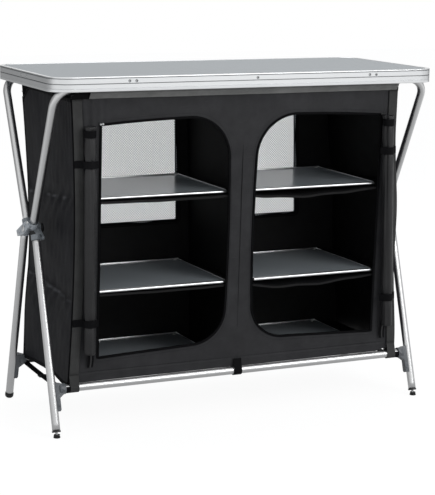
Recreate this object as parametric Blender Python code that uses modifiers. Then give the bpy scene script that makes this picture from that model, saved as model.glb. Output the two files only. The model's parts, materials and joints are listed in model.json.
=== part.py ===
"""Free-standing folding camp kitchen cupboard, modelled in metres.

+X runs to the right along the worktop, -Y faces the person who opens the doors and +Z is up.
The origin is on the ground under the middle of the worktop. Everything is symmetric about the
planes x = 0 and y = 0 except the doors, the front and rear feet and the two halves of each hub.
"""
import math

import bmesh
import bpy
import numpy as np
from mathutils import Matrix, Vector

# Overall sizes
WIDTH = 1.000               # worktop, left to right
DEPTH = 0.435               # worktop, front to back
HEIGHT = 0.8405             # top of the worktop's edge profile

# Fits
GAP = 0.0003                # between pieces that touch
SLIP = 0.0006               # between a tube and what it is pushed into

# Worktop
EDGE_HEIGHT = 0.0333        # edge profile, top to bottom
EDGE_WIDTH = 0.010
EDGE_CORNER = 0.050         # outer corner radius
BOARD_SINK = 0.0006         # board top under the profile's top
BOARD_THICK = 0.010

# Frame tubes
TUBE_R = 0.0095
TUBE_WALL = 0.0012
BEND_R = 0.049              # centre line of the corner bends
LEG_INSET = 0.0165          # leg centre line in from the worktop's end
TOP_BAR_INSET = 0.0265      # top bar centre line in from the worktop's front edge
FOOT_SPREAD = 0.185         # where a leg's line meets the ground, from the middle
LOW_BAR_HEIGHT = 0.107
LOW_BAR_END = 0.018         # bottom bar's end to the leg's centre line

# Hubs where the legs cross
HUB_HEIGHT = 0.466
UPPER_END_Y = 0.0238        # where the upper tubes end, from the pivot
UPPER_END_Z = 0.012
LOWER_END_Y = 0.0420        # where the lower tubes end, from the pivot
LOWER_END_Z = -0.0144
SOCKET_WALL = 0.0017
SOCKET_LENGTH = 0.0165
SOCKET_FLOOR = 0.006
BOSS_R = 0.008
BOSS_AT = 0.0078            # boss centre along the socket
PLATE_THICK = 0.005
PLATE_END_R = 0.0125
PLATE_MID_R = 0.0115
BOLT_R = 0.0040
BOLT_HEAD_R = 0.0085
BOLT_HEAD_THICK = 0.0035
BARREL_R = 0.0065
COLLAR_R = 0.0105
KNOB_R = 0.0115
KNOB_THICK = 0.0072
KNOB_EDGE = 0.002           # rounding of the knob and of the bolt's head
KNOB_CLEAR = 0.0140         # knob to the fullest point of the cabinet's side

# Corner brackets of the bottom bars
BRACKET_THICK = 0.016
BRACKET_SADDLE = 0.0043     # saddle's face in from the leg's centre line
BRACKET_TOP = 0.0155        # above the bar's centre line, along the leg
BRACKET_TAIL = 0.052        # below it
BRACKET_TAIL_WIDTH = 0.0065
BRACKET_COLLAR = 0.0145     # length of the collar round the bar
COLLAR_WALL = 0.0030

# Feet
CAP_WALL = 0.0014
CAP_HEIGHT = 0.0055
CAP_FLOOR = 0.0075
PLUG_LIP = 0.0010           # plug's flange beyond the tube
PLUG_FLANGE = 0.0042
PLUG_SPIGOT = 0.012
STUD_R = 0.0030
PAD_R = 0.0082
PAD_THICK = 0.0032
PAD_NECK_R = 0.0045
PAD_NECK = 0.0012
NUT_R = 0.0080
NUT_THICK = 0.0034
FRONT_TUBE_END = 0.0160     # height of the front leg's end

# Worktop clips
CLIP_WALL = 0.0033
CLIP_CROWN = 0.0022         # thinnest part, between the bar and the board
CLIP_LENGTH = 0.028
CLIP_GAP = 0.0005           # to the cloth sleeve that it grips
CLIP_WRAP = 30.0            # degrees that a jaw goes on under the bar's widest line
CLIP_INSET = 0.095          # clip's outer end to the leg's centre line

# Cabinet
WALL = 0.003
HEM_LIFT = 0.012            # lower edge of the walls over the bottom bars
HEM_INSET = 0.0008          # outer face of the hem, back from the bottom bar's centre line
SLEEVE_WALL = 0.0015
SLEEVE_LENGTH = 0.820
SLEEVE_SLID = 0.0095        # sleeves' middle to the right of the middle plane
TOP_GAP = 0.0008            # sleeve to the wall's top edge
BILLOW = 0.005              # how far a side wall bellies out between the shelf seams
SHELF_LOWER_LIFT = 0.018    # top of the lowest boards over the hem
SHELF_LOWER_SPACE = 0.198   # from board top to board top
SHELF_UPPER_SPACE = 0.221
SHELF_THICK = 0.007
SHELF_SETBACK = 0.005       # loose boards behind the front wall, where it stands closest
SHELF_REAR_GAP = 0.015      # and in front of the back wall
SHELF_SIDE_GAP = 0.0020     # board's end to the door opening's edge
SLING_SETBACK = 0.0035      # sling's front hem behind the front wall
SLING_SAG = 0.012           # how far the middle of that hem hangs below the board
SIDE_PANEL_GRID = (8, 18)   # squares of the cloth pieces, across and along
SLING_GRID = (8, 6)

# Door openings
DOOR_INNER = 0.036          # edge beside the centre column, from the middle
DOOR_MARGIN = 0.063         # from the cabinet's side
DOOR_SILL = 0.061           # over the hem
DOOR_HEAD = 0.0670          # under the wall's top
DOOR_CORNER = 0.098
ROLL_R = 0.0155
ROLL_WAIST_R = 0.0125       # under a tie
ROLL_WAIST_LENGTH = 0.013
ROLL_OFFSET = 0.025         # roll's centre line out from the opening's edge
ROLL_END_GAP = (0.012, 0.008)   # roll's ends inside the opening's height, at the sill and head
ROLL_LOW_TIE = 0.072        # over the roll's lower end
ROLL_HIGH_TIES = (0.088, 0.017)     # under its upper end

# Mesh windows in the back
WINDOW_INNER = 0.030
WINDOW_MARGIN = 0.119       # from the cabinet's side
WINDOW_SILL = 0.095         # over the middle boards
WINDOW_HEAD = 0.0580        # under the wall's top

# Webbing
WEB_THICK = 0.0015
WEB_LOOP_GAP = 0.0007
CORNER_WEB_WIDTH = 0.023
CORNER_WEB_INSET = 0.001    # web's outer edge in from the cabinet's side
LIMITER_WIDTH = 0.0145
LIMITER_GAP = 0.0018        # limiter strap to the bracket's collar, and to the cabinet's side
LOOP_WIDTH = 0.022
LOOP_AT = -0.006            # centre loops, off the middle
LOOP_RISE = 0.018           # where webbing leaves the front and back walls, over the hem

# Worked out from the sizes above: the frame
BORE_R = TUBE_R + SLIP
SLEEVE_R = BORE_R + SLEEVE_WALL
SOCKET_R = BORE_R + SOCKET_WALL
CAP_R = BORE_R + CAP_WALL
CLIP_BORE = SLEEVE_R + CLIP_GAP
CLIP_R = CLIP_BORE + CLIP_WALL
LEG_X = WIDTH / 2 - LEG_INSET
BOARD_UNDER = HEIGHT - BOARD_SINK - BOARD_THICK
TOP_BAR_Y = DEPTH / 2 - TOP_BAR_INSET
TOP_BAR_Z = BOARD_UNDER - GAP - CLIP_CROWN - CLIP_BORE
UPPER_END = Vector((UPPER_END_Y, HUB_HEIGHT + UPPER_END_Z))
LOWER_END = Vector((LOWER_END_Y, HUB_HEIGHT + LOWER_END_Z))
UPPER_WAY = (Vector((TOP_BAR_Y, TOP_BAR_Z)) - UPPER_END).normalized()
LOWER_WAY = (Vector((FOOT_SPREAD, 0.0)) - LOWER_END).normalized()
LOWER_LEAN = math.atan2(LOWER_WAY.x, -LOWER_WAY.y)
LOW_BAR_Y = LOWER_END.x + (LOWER_END.y - LOW_BAR_HEIGHT) * math.tan(LOWER_LEAN)
BRACKET_REACH = LOW_BAR_END + BRACKET_COLLAR - SLIP     # in from the leg's centre line
LIMITER_X = LEG_X - BRACKET_REACH - LIMITER_GAP - LIMITER_WIDTH / 2
PLATE_X = {"outer": LEG_X + SOCKET_R + GAP, "inner": LEG_X - SOCKET_R - GAP - PLATE_THICK}

# The cabinet
BODY_HALF_WIDTH = LIMITER_X - LIMITER_WIDTH / 2 - LIMITER_GAP
HEM_HEIGHT = LOW_BAR_HEIGHT + HEM_LIFT
WALL_TOP = TOP_BAR_Z - SLEEVE_R - TOP_GAP
WALL_HEM_Y = LOW_BAR_Y + HEM_INSET
WALL_LEAN = math.atan2(TOP_BAR_Y - TUBE_R - WALL_HEM_Y, WALL_TOP - HEM_HEIGHT)
COLLAR_LENGTH = PLATE_X["inner"] - GAP - KNOB_THICK - KNOB_CLEAR - BILLOW - BODY_HALF_WIDTH
SHELF_LOWER = HEM_HEIGHT + SHELF_LOWER_LIFT
SHELF_MIDDLE = SHELF_LOWER + SHELF_LOWER_SPACE
SHELF_UPPER = SHELF_MIDDLE + SHELF_UPPER_SPACE
FLOOR_TOP = SHELF_LOWER - SHELF_THICK - GAP
DOOR_OUTER = BODY_HALF_WIDTH - DOOR_MARGIN
DOOR_BOTTOM = HEM_HEIGHT + DOOR_SILL
DOOR_TOP = WALL_TOP - DOOR_HEAD
ROLL_CENTRE = DOOR_OUTER + ROLL_OFFSET
ROLL_BOTTOM = DOOR_BOTTOM + ROLL_END_GAP[0]
ROLL_TOP = DOOR_TOP - ROLL_END_GAP[1]
WINDOW_OUTER = BODY_HALF_WIDTH - WINDOW_MARGIN
WINDOW_BOTTOM = SHELF_MIDDLE + WINDOW_SILL
WINDOW_TOP = WALL_TOP - WINDOW_HEAD
LOOP_TOP = HEM_HEIGHT + LOOP_RISE
TUBE_SIDES = 16
SMALL_SIDES = 12


def wall_y(z):
    """Distance of the front and back walls' outer faces from the middle plane at height z."""
    return WALL_HEM_Y + (z - HEM_HEIGHT) * math.tan(WALL_LEAN)


def inner_y(z):
    """The same for their inner faces, less a fitting gap."""
    return wall_y(z) - WALL / math.cos(WALL_LEAN) - GAP


def clear_scene():
    for thing in list(bpy.data.objects):
        bpy.data.objects.remove(thing, do_unlink=True)


def new_collection(name):
    group = bpy.data.collections.new(name)
    bpy.context.scene.collection.children.link(group)
    return group


clear_scene()
CUPBOARD = new_collection("folding_kitchen_cupboard")
CUTTERS = new_collection("cutters")


def material(name, colour, roughness, metallic=0.0):
    finish = bpy.data.materials.new(name)
    finish.use_nodes = True
    shader = finish.node_tree.nodes["Principled BSDF"]
    shader.inputs["Base Color"].default_value = (*colour, 1.0)
    shader.inputs["Roughness"].default_value = roughness
    shader.inputs["Metallic"].default_value = metallic
    return finish


ALUMINIUM = material("bright_aluminium", (0.80, 0.81, 0.82), 0.28, 1.0)
LAMINATE = material("grey_worktop_laminate", (0.45, 0.48, 0.50), 0.45)
SHELF_FACE = material("silver_grey_shelf_board", (0.30, 0.32, 0.34), 0.30)
FABRIC = material("charcoal_polyester", (0.035, 0.035, 0.037), 0.85)
LINING = material("black_polyester", (0.018, 0.018, 0.020), 0.85)
NETTING = material("white_mesh", (0.62, 0.64, 0.66), 0.70)
WEBBING = material("grey_webbing", (0.085, 0.085, 0.090), 0.75)
SLEEVE_CLOTH = material("grey_sleeve_cloth", (0.16, 0.16, 0.165), 0.80)
GREY_PLASTIC = material("grey_moulded_plastic", (0.070, 0.078, 0.088), 0.50)
LIGHT_PLASTIC = material("light_grey_plastic", (0.32, 0.37, 0.41), 0.40)
BLACK_PLASTIC = material("black_plastic", (0.015, 0.015, 0.016), 0.45)
STEEL = material("plated_steel", (0.60, 0.60, 0.60), 0.30, 1.0)


def add_object(name, data, finish=None, group=None):
    """An object for the mesh, in the cupboard's collection, or among the cutters."""
    thing = bpy.data.objects.new(name, data)
    (group or CUPBOARD).objects.link(thing)
    if finish:
        data.materials.append(finish)
    if group is CUTTERS:
        thing.hide_render = True
        thing.display_type = "WIRE"
    return thing


def evaluated_mesh(thing, name):
    """The mesh that a curve makes, with its caps welded on; the curve is removed."""
    graph = bpy.context.evaluated_depsgraph_get()
    data = bpy.data.meshes.new_from_object(thing.evaluated_get(graph))
    bpy.data.objects.remove(thing, do_unlink=True)
    data.name = name
    data.materials.clear()
    shape = bmesh.new()
    shape.from_mesh(data)
    bmesh.ops.remove_doubles(shape, verts=shape.verts, dist=0.00001)
    bmesh.ops.recalc_face_normals(shape, faces=shape.faces)
    shape.to_mesh(data)
    shape.free()
    return data


def prism(name, outlines, thickness, finish=None, group=None):
    """A flat shape in its own XY plane, centred on z = 0; outlines after the first are holes."""
    flat = bpy.data.curves.new(name, "CURVE")
    flat.dimensions = "2D"
    flat.fill_mode = "BOTH"
    flat.extrude = thickness / 2
    for outline in outlines:
        spline = flat.splines.new("POLY")
        spline.points.add(len(outline) - 1)
        for point, (u, v) in zip(spline.points, outline):
            point.co = (u, v, 0.0, 1.0)
        spline.use_cyclic_u = True
    draft = add_object(name + "_outline", flat, group=CUTTERS)
    return add_object(name, evaluated_mesh(draft, name), finish, group)


def cylinder(name, radius, length, finish=None, group=None, sides=TUBE_SIDES):
    """A solid cylinder along its own Z, from z = 0 up."""
    shape = bmesh.new()
    bmesh.ops.create_cone(shape, cap_ends=True, segments=sides, radius1=radius, radius2=radius,
                          depth=length, matrix=Matrix.Translation((0.0, 0.0, length / 2)))
    data = bpy.data.meshes.new(name)
    shape.to_mesh(data)
    shape.free()
    return add_object(name, data, finish, group)


def turned(name, profile, finish=None, group=None, sides=TUBE_SIDES):
    """A turned solid about its own Z. The profile runs from the top of the axis to its foot."""
    shape = bmesh.new()
    corners = [shape.verts.new((r, 0.0, z)) for r, z in profile]
    for start, end in zip(corners, corners[1:]):
        shape.edges.new((start, end))
    data = bpy.data.meshes.new(name)
    shape.to_mesh(data)
    shape.free()
    thing = add_object(name, data, finish, group)
    screw = thing.modifiers.new("turn", "SCREW")
    screw.steps = screw.render_steps = sides
    screw.use_merge_vertices = True
    screw.merge_threshold = 0.00001
    return thing


def tube(name, route, finish):
    """A hollow tube of the frame along a route of points, open at both ends."""
    path = bpy.data.curves.new(name, "CURVE")
    path.dimensions = "3D"
    path.bevel_depth = TUBE_R
    path.bevel_resolution = (SMALL_SIDES - 4) // 2
    spline = path.splines.new("POLY")
    spline.points.add(len(route) - 1)
    for point, place in zip(spline.points, route):
        point.co = (*place, 1.0)
    draft = add_object(name + "_route", path, group=CUTTERS)
    data = evaluated_mesh(draft, name)
    thing = add_object(name, data, finish)
    wall = thing.modifiers.new("wall", "SOLIDIFY")
    wall.thickness = TUBE_WALL
    wall.offset = -1.0
    return thing


def put(thing, place, way=(0.0, 0.0, 1.0)):
    """Moves an object to a place, with its own Z turned to point along way."""
    turn = Vector(way).normalized()
    thing.matrix_world = Matrix.Translation(place) @ Vector((0, 0, 1)).rotation_difference(
        turn).to_matrix().to_4x4()
    return thing


def boolean(thing, other, operation):
    change = thing.modifiers.new(operation.lower(), "BOOLEAN")
    change.operation = operation
    change.object = other
    return thing


def cloth(name, place, across, along, finish):
    """A sheet of the cabinet's cloth: place(u, v) gives its middle surface for u and v from 0
    to 1, with across and along squares, and the sheet gets the walls' thickness."""
    shape = bmesh.new()
    bmesh.ops.create_grid(shape, x_segments=across, y_segments=along, size=0.5)
    for corner in shape.verts:
        corner.co = place(corner.co.x + 0.5, corner.co.y + 0.5)
    data = bpy.data.meshes.new(name)
    shape.to_mesh(data)
    shape.free()
    thing = add_object(name, data, finish)
    sheet = thing.modifiers.new("sheet", "SOLIDIFY")
    sheet.thickness = WALL
    sheet.offset = 0.0
    return thing


def arc(centre, radius, start, end, steps):
    """Points of an arc, angles in degrees."""
    angles = np.radians(np.linspace(start, end, steps + 1))
    return [(centre[0] + radius * math.cos(a), centre[1] + radius * math.sin(a)) for a in angles]


def hull(points):
    """The convex outline round a set of points, by Andrew's monotone chain."""
    points = sorted(set(points))

    def half(run):
        chain = []
        for p in run:
            while len(chain) > 1:
                a, b = chain[-2], chain[-1]
                if (b[0] - a[0]) * (p[1] - a[1]) - (b[1] - a[1]) * (p[0] - a[0]) > 1e-12:
                    break
                chain.pop()
            chain.append(p)
        return chain[:-1]

    return half(points) + half(points[::-1])


def along_x(thing, x, y=0.0, z=0.0):
    """Stands a prism's outline in the YZ plane: its own X to +Y, its Y to +Z, its Z to +X."""
    thing.matrix_world = Matrix.Translation((x, y, z)) @ Matrix(
        ((0, 0, 1), (1, 0, 0), (0, 1, 0))).to_4x4()
    return thing


SIDES = {"left": -1, "right": 1}
ENDS = {"front": -1, "rear": 1}


def make_worktop():
    def rounded(half_x, half_y, radius):
        corners = []
        for sx, sy, start in ((1, 1, 0), (-1, 1, 90), (-1, -1, 180), (1, -1, 270)):
            centre = (sx * (half_x - radius), sy * (half_y - radius))
            corners += arc(centre, radius, start, start + 90, 5)
        return corners

    inner_x = WIDTH / 2 - EDGE_WIDTH
    inner_y_half = DEPTH / 2 - EDGE_WIDTH
    inner_corner = EDGE_CORNER - EDGE_WIDTH
    frame = prism("worktop_edge_profile",
                  [rounded(WIDTH / 2, DEPTH / 2, EDGE_CORNER),
                   rounded(inner_x, inner_y_half, inner_corner)], EDGE_HEIGHT, ALUMINIUM)
    frame.location.z = HEIGHT - EDGE_HEIGHT / 2
    board = prism("worktop_board",
                  [rounded(inner_x - GAP, inner_y_half - GAP, inner_corner - GAP)],
                  BOARD_THICK, LAMINATE)
    board.location.z = BOARD_UNDER + BOARD_THICK / 2


def make_clips():
    """Saddles under the worktop, over the sleeved bars. The rear pair snaps round its bar; the
    front pair is open behind, so that the front bar can run back as the frame closes."""
    top = BOARD_UNDER - GAP - TOP_BAR_Z
    inner = CLIP_BORE
    for side, sx in SIDES.items():
        x = sx * (LEG_X - CLIP_INSET - CLIP_LENGTH / 2)
        jaw = arc((0, 0), CLIP_R, 180, 180 + CLIP_WRAP, 2)
        front = [(-CLIP_R, top)] + jaw + arc((0, 0), inner, 180 + CLIP_WRAP, 90, 6)
        front += [(CLIP_R, inner), (CLIP_R, top)]
        along_x(prism(f"clip_front_{side}", [front], CLIP_LENGTH, BLACK_PLASTIC),
                x, -TOP_BAR_Y, TOP_BAR_Z)
        rear = [(-CLIP_R, top)] + jaw + arc((0, 0), inner, 180 + CLIP_WRAP, -CLIP_WRAP, 12)
        rear += arc((0, 0), CLIP_R, -CLIP_WRAP, 0, 2) + [(CLIP_R, top)]
        along_x(prism(f"clip_rear_{side}", [rear], CLIP_LENGTH, BLACK_PLASTIC),
                x, TOP_BAR_Y, TOP_BAR_Z)


def make_top_bows():
    """Each bow is one tube: up from the left hub, round a bend, along the top and down again."""
    for end, sy in ENDS.items():
        start = UPPER_END + UPPER_WAY * GAP
        corner = Vector((TOP_BAR_Y, TOP_BAR_Z))
        bend = corner - UPPER_WAY * BEND_R
        half = [(LEG_X, sy * start.x, start.y)]
        for angle in np.radians(np.linspace(0, 90, 7)):
            out = BEND_R * (1 - math.cos(angle))
            up = UPPER_WAY * BEND_R * math.sin(angle)
            half.append((LEG_X - out, sy * (bend.x + up.x), bend.y + up.y))
        route = [(-x, y, z) for x, y, z in half] + half[::-1]
        tube(f"top_bow_{end}", route, ALUMINIUM)


def lower_point(sy, height):
    """The point of a lower leg's centre line at a height, as (y, z)."""
    reach = (LOWER_END.y - height) * math.tan(LOWER_LEAN)
    return sy * (LOWER_END.x + reach), height


def make_lower_legs(rear_tube_end):
    for end, sy in ENDS.items():
        foot = FRONT_TUBE_END if end == "front" else rear_tube_end
        for side, sx in SIDES.items():
            top = LOWER_END + LOWER_WAY * GAP
            y, z = lower_point(sy, foot)
            tube(f"lower_leg_{end}_{side}",
                 [(sx * LEG_X, sy * top.x, top.y), (sx * LEG_X, y, z)], ALUMINIUM)
        bar_half = LEG_X - LOW_BAR_END
        tube(f"bottom_bar_{end}", [(-bar_half, sy * LOW_BAR_Y, LOW_BAR_HEIGHT),
                                   (bar_half, sy * LOW_BAR_Y, LOW_BAR_HEIGHT)], ALUMINIUM)


def make_hub_half(name, sx, upper_sy, layer, finish):
    """One half of a hub: sockets for an upper tube on one side of the pivot and for the lower
    tube on the other, bridged by a plate outside or inside the plane of the legs."""
    plate_x = PLATE_X[layer]
    hub = Vector((0.0, HUB_HEIGHT))
    sockets = []
    for end, way, sy in ((UPPER_END, UPPER_WAY, upper_sy), (LOWER_END, LOWER_WAY, -upper_sy)):
        sockets.append((Vector((sy * end.x, end.y)), Vector((sy * way.x, way.y))))
    ring = []
    for place, way in sockets:
        ring += arc(tuple(place + way * BOSS_AT - hub), PLATE_END_R, 0, 330, 11)
    ring += arc((0.0, 0.0), PLATE_MID_R, 0, 330, 11)
    ring = [(round(u, 7), round(v, 7)) for u, v in ring]
    half = prism(name, [hull(ring)], PLATE_THICK, finish)
    along_x(half, sx * (plate_x + PLATE_THICK / 2), 0.0, HUB_HEIGHT)
    for number, (place, way) in enumerate(sockets):
        tag = f"{name}_{number}"
        start = place - way * SOCKET_FLOOR
        sleeve = cylinder(tag + "_sleeve", SOCKET_R, SOCKET_LENGTH + SOCKET_FLOOR, group=CUTTERS)
        put(sleeve, (sx * LEG_X, start.x, start.y), (0.0, way.x, way.y))
        boss = cylinder(tag + "_boss", BOSS_R, SOCKET_R, group=CUTTERS, sides=SMALL_SIDES)
        middle = place + way * BOSS_AT
        outwards = 1 if layer == "outer" else -1
        put(boss, (sx * (LEG_X + outwards * PLATE_THICK), middle.x, middle.y),
            (sx * outwards, 0.0, 0.0))
        boolean(half, boss, "UNION")
        boolean(half, sleeve, "UNION")
    if layer == "inner":
        for part, radius, start, length in (
                ("collar", COLLAR_R, plate_x - COLLAR_LENGTH, COLLAR_LENGTH + PLATE_THICK / 2),
                ("barrel", BARREL_R, plate_x, PLATE_X["outer"] - plate_x - GAP)):
            piece = cylinder(f"{name}_{part}", radius, length, group=CUTTERS)
            put(piece, (sx * start, 0.0, HUB_HEIGHT), (sx, 0.0, 0.0))
            boolean(half, piece, "UNION")
    for number, (place, way) in enumerate(sockets):
        bore = cylinder(f"{name}_{number}_bore", BORE_R, SOCKET_LENGTH * 2, group=CUTTERS)
        put(bore, (sx * LEG_X, place.x, place.y), (0.0, way.x, way.y))
        boolean(half, bore, "DIFFERENCE")
    start = PLATE_X["inner"] - COLLAR_LENGTH * 2
    hole = cylinder(name + "_hole", BOLT_R + SLIP, PLATE_X["outer"] + PLATE_THICK * 2 - start,
                    group=CUTTERS, sides=SMALL_SIDES)
    put(hole, (sx * start, 0.0, HUB_HEIGHT), (sx, 0.0, 0.0))
    boolean(half, hole, "DIFFERENCE")


def make_hubs():
    for side, sx in SIDES.items():
        make_hub_half(f"hub_outer_{side}", sx, -1, "outer", LIGHT_PLASTIC)
        make_hub_half(f"hub_inner_{side}", sx, 1, "inner", GREY_PLASTIC)
        knob = PLATE_X["inner"] - COLLAR_LENGTH - GAP
        head = PLATE_X["outer"] + PLATE_THICK + GAP
        profile = [(0.0, head + BOLT_HEAD_THICK),
                   (BOLT_HEAD_R - KNOB_EDGE, head + BOLT_HEAD_THICK),
                   (BOLT_HEAD_R, head + BOLT_HEAD_THICK / 2), (BOLT_HEAD_R, head),
                   (BOLT_R, head), (BOLT_R, knob), (KNOB_R, knob),
                   (KNOB_R, knob - KNOB_THICK + KNOB_EDGE),
                   (KNOB_R - KNOB_EDGE, knob - KNOB_THICK),
                   (0.0, knob - KNOB_THICK)]
        bolt = turned(f"pivot_bolt_{side}", profile, STEEL, sides=SMALL_SIDES)
        put(bolt, (0.0, 0.0, HUB_HEIGHT), (sx, 0.0, 0.0))


def make_brackets():
    """Gussets between each bottom bar and its leg: a saddle against the leg, a tail down it and
    a collar round the bar's end. The outline's u runs inwards from the leg, v up along it."""
    collar_r = BORE_R + COLLAR_WALL
    inner = BRACKET_REACH
    tail = TUBE_R + BRACKET_TAIL_WIDTH
    edge = BRACKET_TAIL_WIDTH / 3
    outline = [(BRACKET_SADDLE, BRACKET_TOP), (BRACKET_SADDLE, -BRACKET_TAIL),
               (tail - edge, -BRACKET_TAIL), (tail, -BRACKET_TAIL + 2 * edge),
               (tail, -collar_r * 1.6), (inner - 2 * edge, -collar_r * 0.9),
               (inner, -collar_r * 0.7), (inner, collar_r * 0.7),
               (tail + 2 * edge, collar_r), (tail - edge, BRACKET_TOP)]
    for end, sy in ENDS.items():
        for side, sx in SIDES.items():
            name = f"bar_bracket_{end}_{side}"
            bracket = prism(name, [[(-sx * u, v) for u, v in outline[::sx]]],
                            BRACKET_THICK, GREY_PLASTIC)
            along = Vector((0.0, sy * -LOWER_WAY.x, -LOWER_WAY.y))
            across = Vector((1.0, 0.0, 0.0)).cross(along)
            bracket.matrix_world = Matrix.Translation(
                (sx * LEG_X, sy * LOW_BAR_Y, LOW_BAR_HEIGHT)) @ Matrix(
                ((1, along[0], across[0]), (0, along[1], across[1]),
                 (0, along[2], across[2]))).to_4x4()
            collar = cylinder(name + "_collar", collar_r, BRACKET_COLLAR, group=CUTTERS)
            put(collar, (sx * (LEG_X - inner), sy * LOW_BAR_Y, LOW_BAR_HEIGHT), (sx, 0.0, 0.0))
            boolean(bracket, collar, "UNION")
            bar = cylinder(name + "_bore", BORE_R, BRACKET_COLLAR * 2, group=CUTTERS)
            start = LEG_X - LOW_BAR_END + GAP
            put(bar, (sx * start, sy * LOW_BAR_Y, LOW_BAR_HEIGHT), (-sx, 0.0, 0.0))
            boolean(bracket, bar, "DIFFERENCE")
            leg = cylinder(name + "_leg", BORE_R, HUB_HEIGHT, group=CUTTERS)
            put(leg, (sx * LEG_X, *lower_point(sy, 0.0)), along)
            boolean(bracket, leg, "DIFFERENCE")


def cap_profile():
    """A rubber cap's section about the tube's axis: z = 0 at the tube's end, up the leg."""
    return [(BORE_R, CAP_HEIGHT), (CAP_R, CAP_HEIGHT - 0.0015), (CAP_R, 0.0),
            (CAP_R * 0.93, -CAP_FLOOR * 0.55), (CAP_R * 0.68, -CAP_FLOOR * 0.88),
            (0.0, -CAP_FLOOR)]


def make_feet(rear_tube_end):
    up_leg = {sy: Vector((0.0, sy * -LOWER_WAY.x, -LOWER_WAY.y)) for sy in (-1, 1)}
    for side, sx in SIDES.items():
        y, z = lower_point(1, rear_tube_end)
        inside = [(0.0, -GAP), (BORE_R, -GAP)]
        cap = turned(f"foot_cap_rear_{side}", inside + cap_profile(), BLACK_PLASTIC)
        put(cap, (sx * LEG_X, y, z), up_leg[1])

        y, z = lower_point(-1, FRONT_TUBE_END)
        bore = TUBE_R - TUBE_WALL - SLIP
        hole = STUD_R + SLIP
        flange = TUBE_R + PLUG_LIP
        profile = [(hole, PLUG_SPIGOT), (bore, PLUG_SPIGOT), (bore, -GAP), (flange, -GAP),
                   (flange, -PLUG_FLANGE), (hole, -PLUG_FLANGE), (hole, PLUG_SPIGOT)]
        plug = turned(f"foot_plug_front_{side}", profile, BLACK_PLASTIC)
        put(plug, (sx * LEG_X, y, z), up_leg[-1])

        nut = PAD_THICK + PAD_NECK
        pad_profile = [(0.0, nut + NUT_THICK), (NUT_R, nut + NUT_THICK), (NUT_R, nut),
                       (PAD_NECK_R, nut), (PAD_NECK_R, PAD_THICK), (PAD_R, PAD_THICK),
                       (PAD_R, 0.0), (0.0, 0.0)]
        pad = turned(f"levelling_foot_front_{side}", pad_profile, BLACK_PLASTIC)
        ground_y, ground_z = lower_point(-1, PAD_THICK)
        pad.location = (sx * LEG_X, ground_y, 0.0)
        stud = cylinder(f"stud_{side}", STUD_R, FRONT_TUBE_END + PLUG_SPIGOT - PAD_THICK,
                        group=CUTTERS, sides=SMALL_SIDES)
        put(stud, (sx * LEG_X, ground_y, ground_z), up_leg[-1])
        boolean(pad, stud, "UNION")


def rear_end_height():
    """Height of a rear tube's end at which its slanted rubber cap just meets the ground."""
    return -min(z * math.cos(LOWER_LEAN) - r * math.sin(LOWER_LEAN) for r, z in cap_profile())


def lean_wall(thing, sy):
    """Stands a wall's flat outline up: its own X stays, its Y runs up the slope from the hem."""
    up = Vector((0.0, sy * math.sin(WALL_LEAN), math.cos(WALL_LEAN)))
    out = Vector((1.0, 0.0, 0.0)).cross(up)
    middle = Vector((0.0, sy * WALL_HEM_Y, HEM_HEIGHT)) + out * (WALL / 2) * sy
    thing.matrix_world = Matrix.Translation(middle) @ Matrix(
        ((1, up[0], out[0]), (0, up[1], out[1]), (0, up[2], out[2]))).to_4x4()
    return thing


def slope(z):
    """Distance up a leaning wall from its hem to height z."""
    return (z - HEM_HEIGHT) / math.cos(WALL_LEAN)


def door_outline(sx):
    """A door opening: square beside the rolled-up door, round beside the centre column."""
    low, high = slope(DOOR_BOTTOM), slope(DOOR_TOP)
    r = DOOR_CORNER
    inner = DOOR_INNER + r
    points = [(DOOR_OUTER, low), (DOOR_OUTER, high)]
    points += arc((inner, high - r), r, 90, 180, 7) + arc((inner, low + r), r, 180, 270, 7)
    return [(sx * u, v) for u, v in points]


def side_wall_point(sx, u, v):
    """A side wall bellies out between the seams that hold the slings, the hem and the top."""
    z = HEM_HEIGHT + v * (WALL_TOP - HEM_HEIGHT)
    seams = (HEM_HEIGHT, SHELF_MIDDLE - SHELF_THICK, SHELF_UPPER - SHELF_THICK, WALL_TOP)
    billow = 0.0
    for low, high in zip(seams, seams[1:]):
        if low < z < high:
            billow = math.sin(math.pi * (z - low) / (high - low))
    reach = 2.0 * u - 1.0
    out = BODY_HALF_WIDTH - WALL / 2 + BILLOW * billow * (1.0 - reach * reach)
    return sx * out, reach * inner_y(z), z


def sling_point(sx, under, u, v):
    """A sling lies flat along the back and at its sides; its front hem hangs in a curve."""
    inner = WALL / 2 + GAP
    outer = BODY_HALF_WIDTH - WALL - GAP
    fore = -inner_y(under - WALL) + SLING_SETBACK
    back = inner_y(under - WALL)
    reach = 2.0 * u - 1.0
    sag = SLING_SAG * (1.0 - reach * reach) * (1.0 - v) ** 3
    return sx * (inner + u * (outer - inner)), fore + v * (back - fore), under - WALL / 2 - sag


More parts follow.
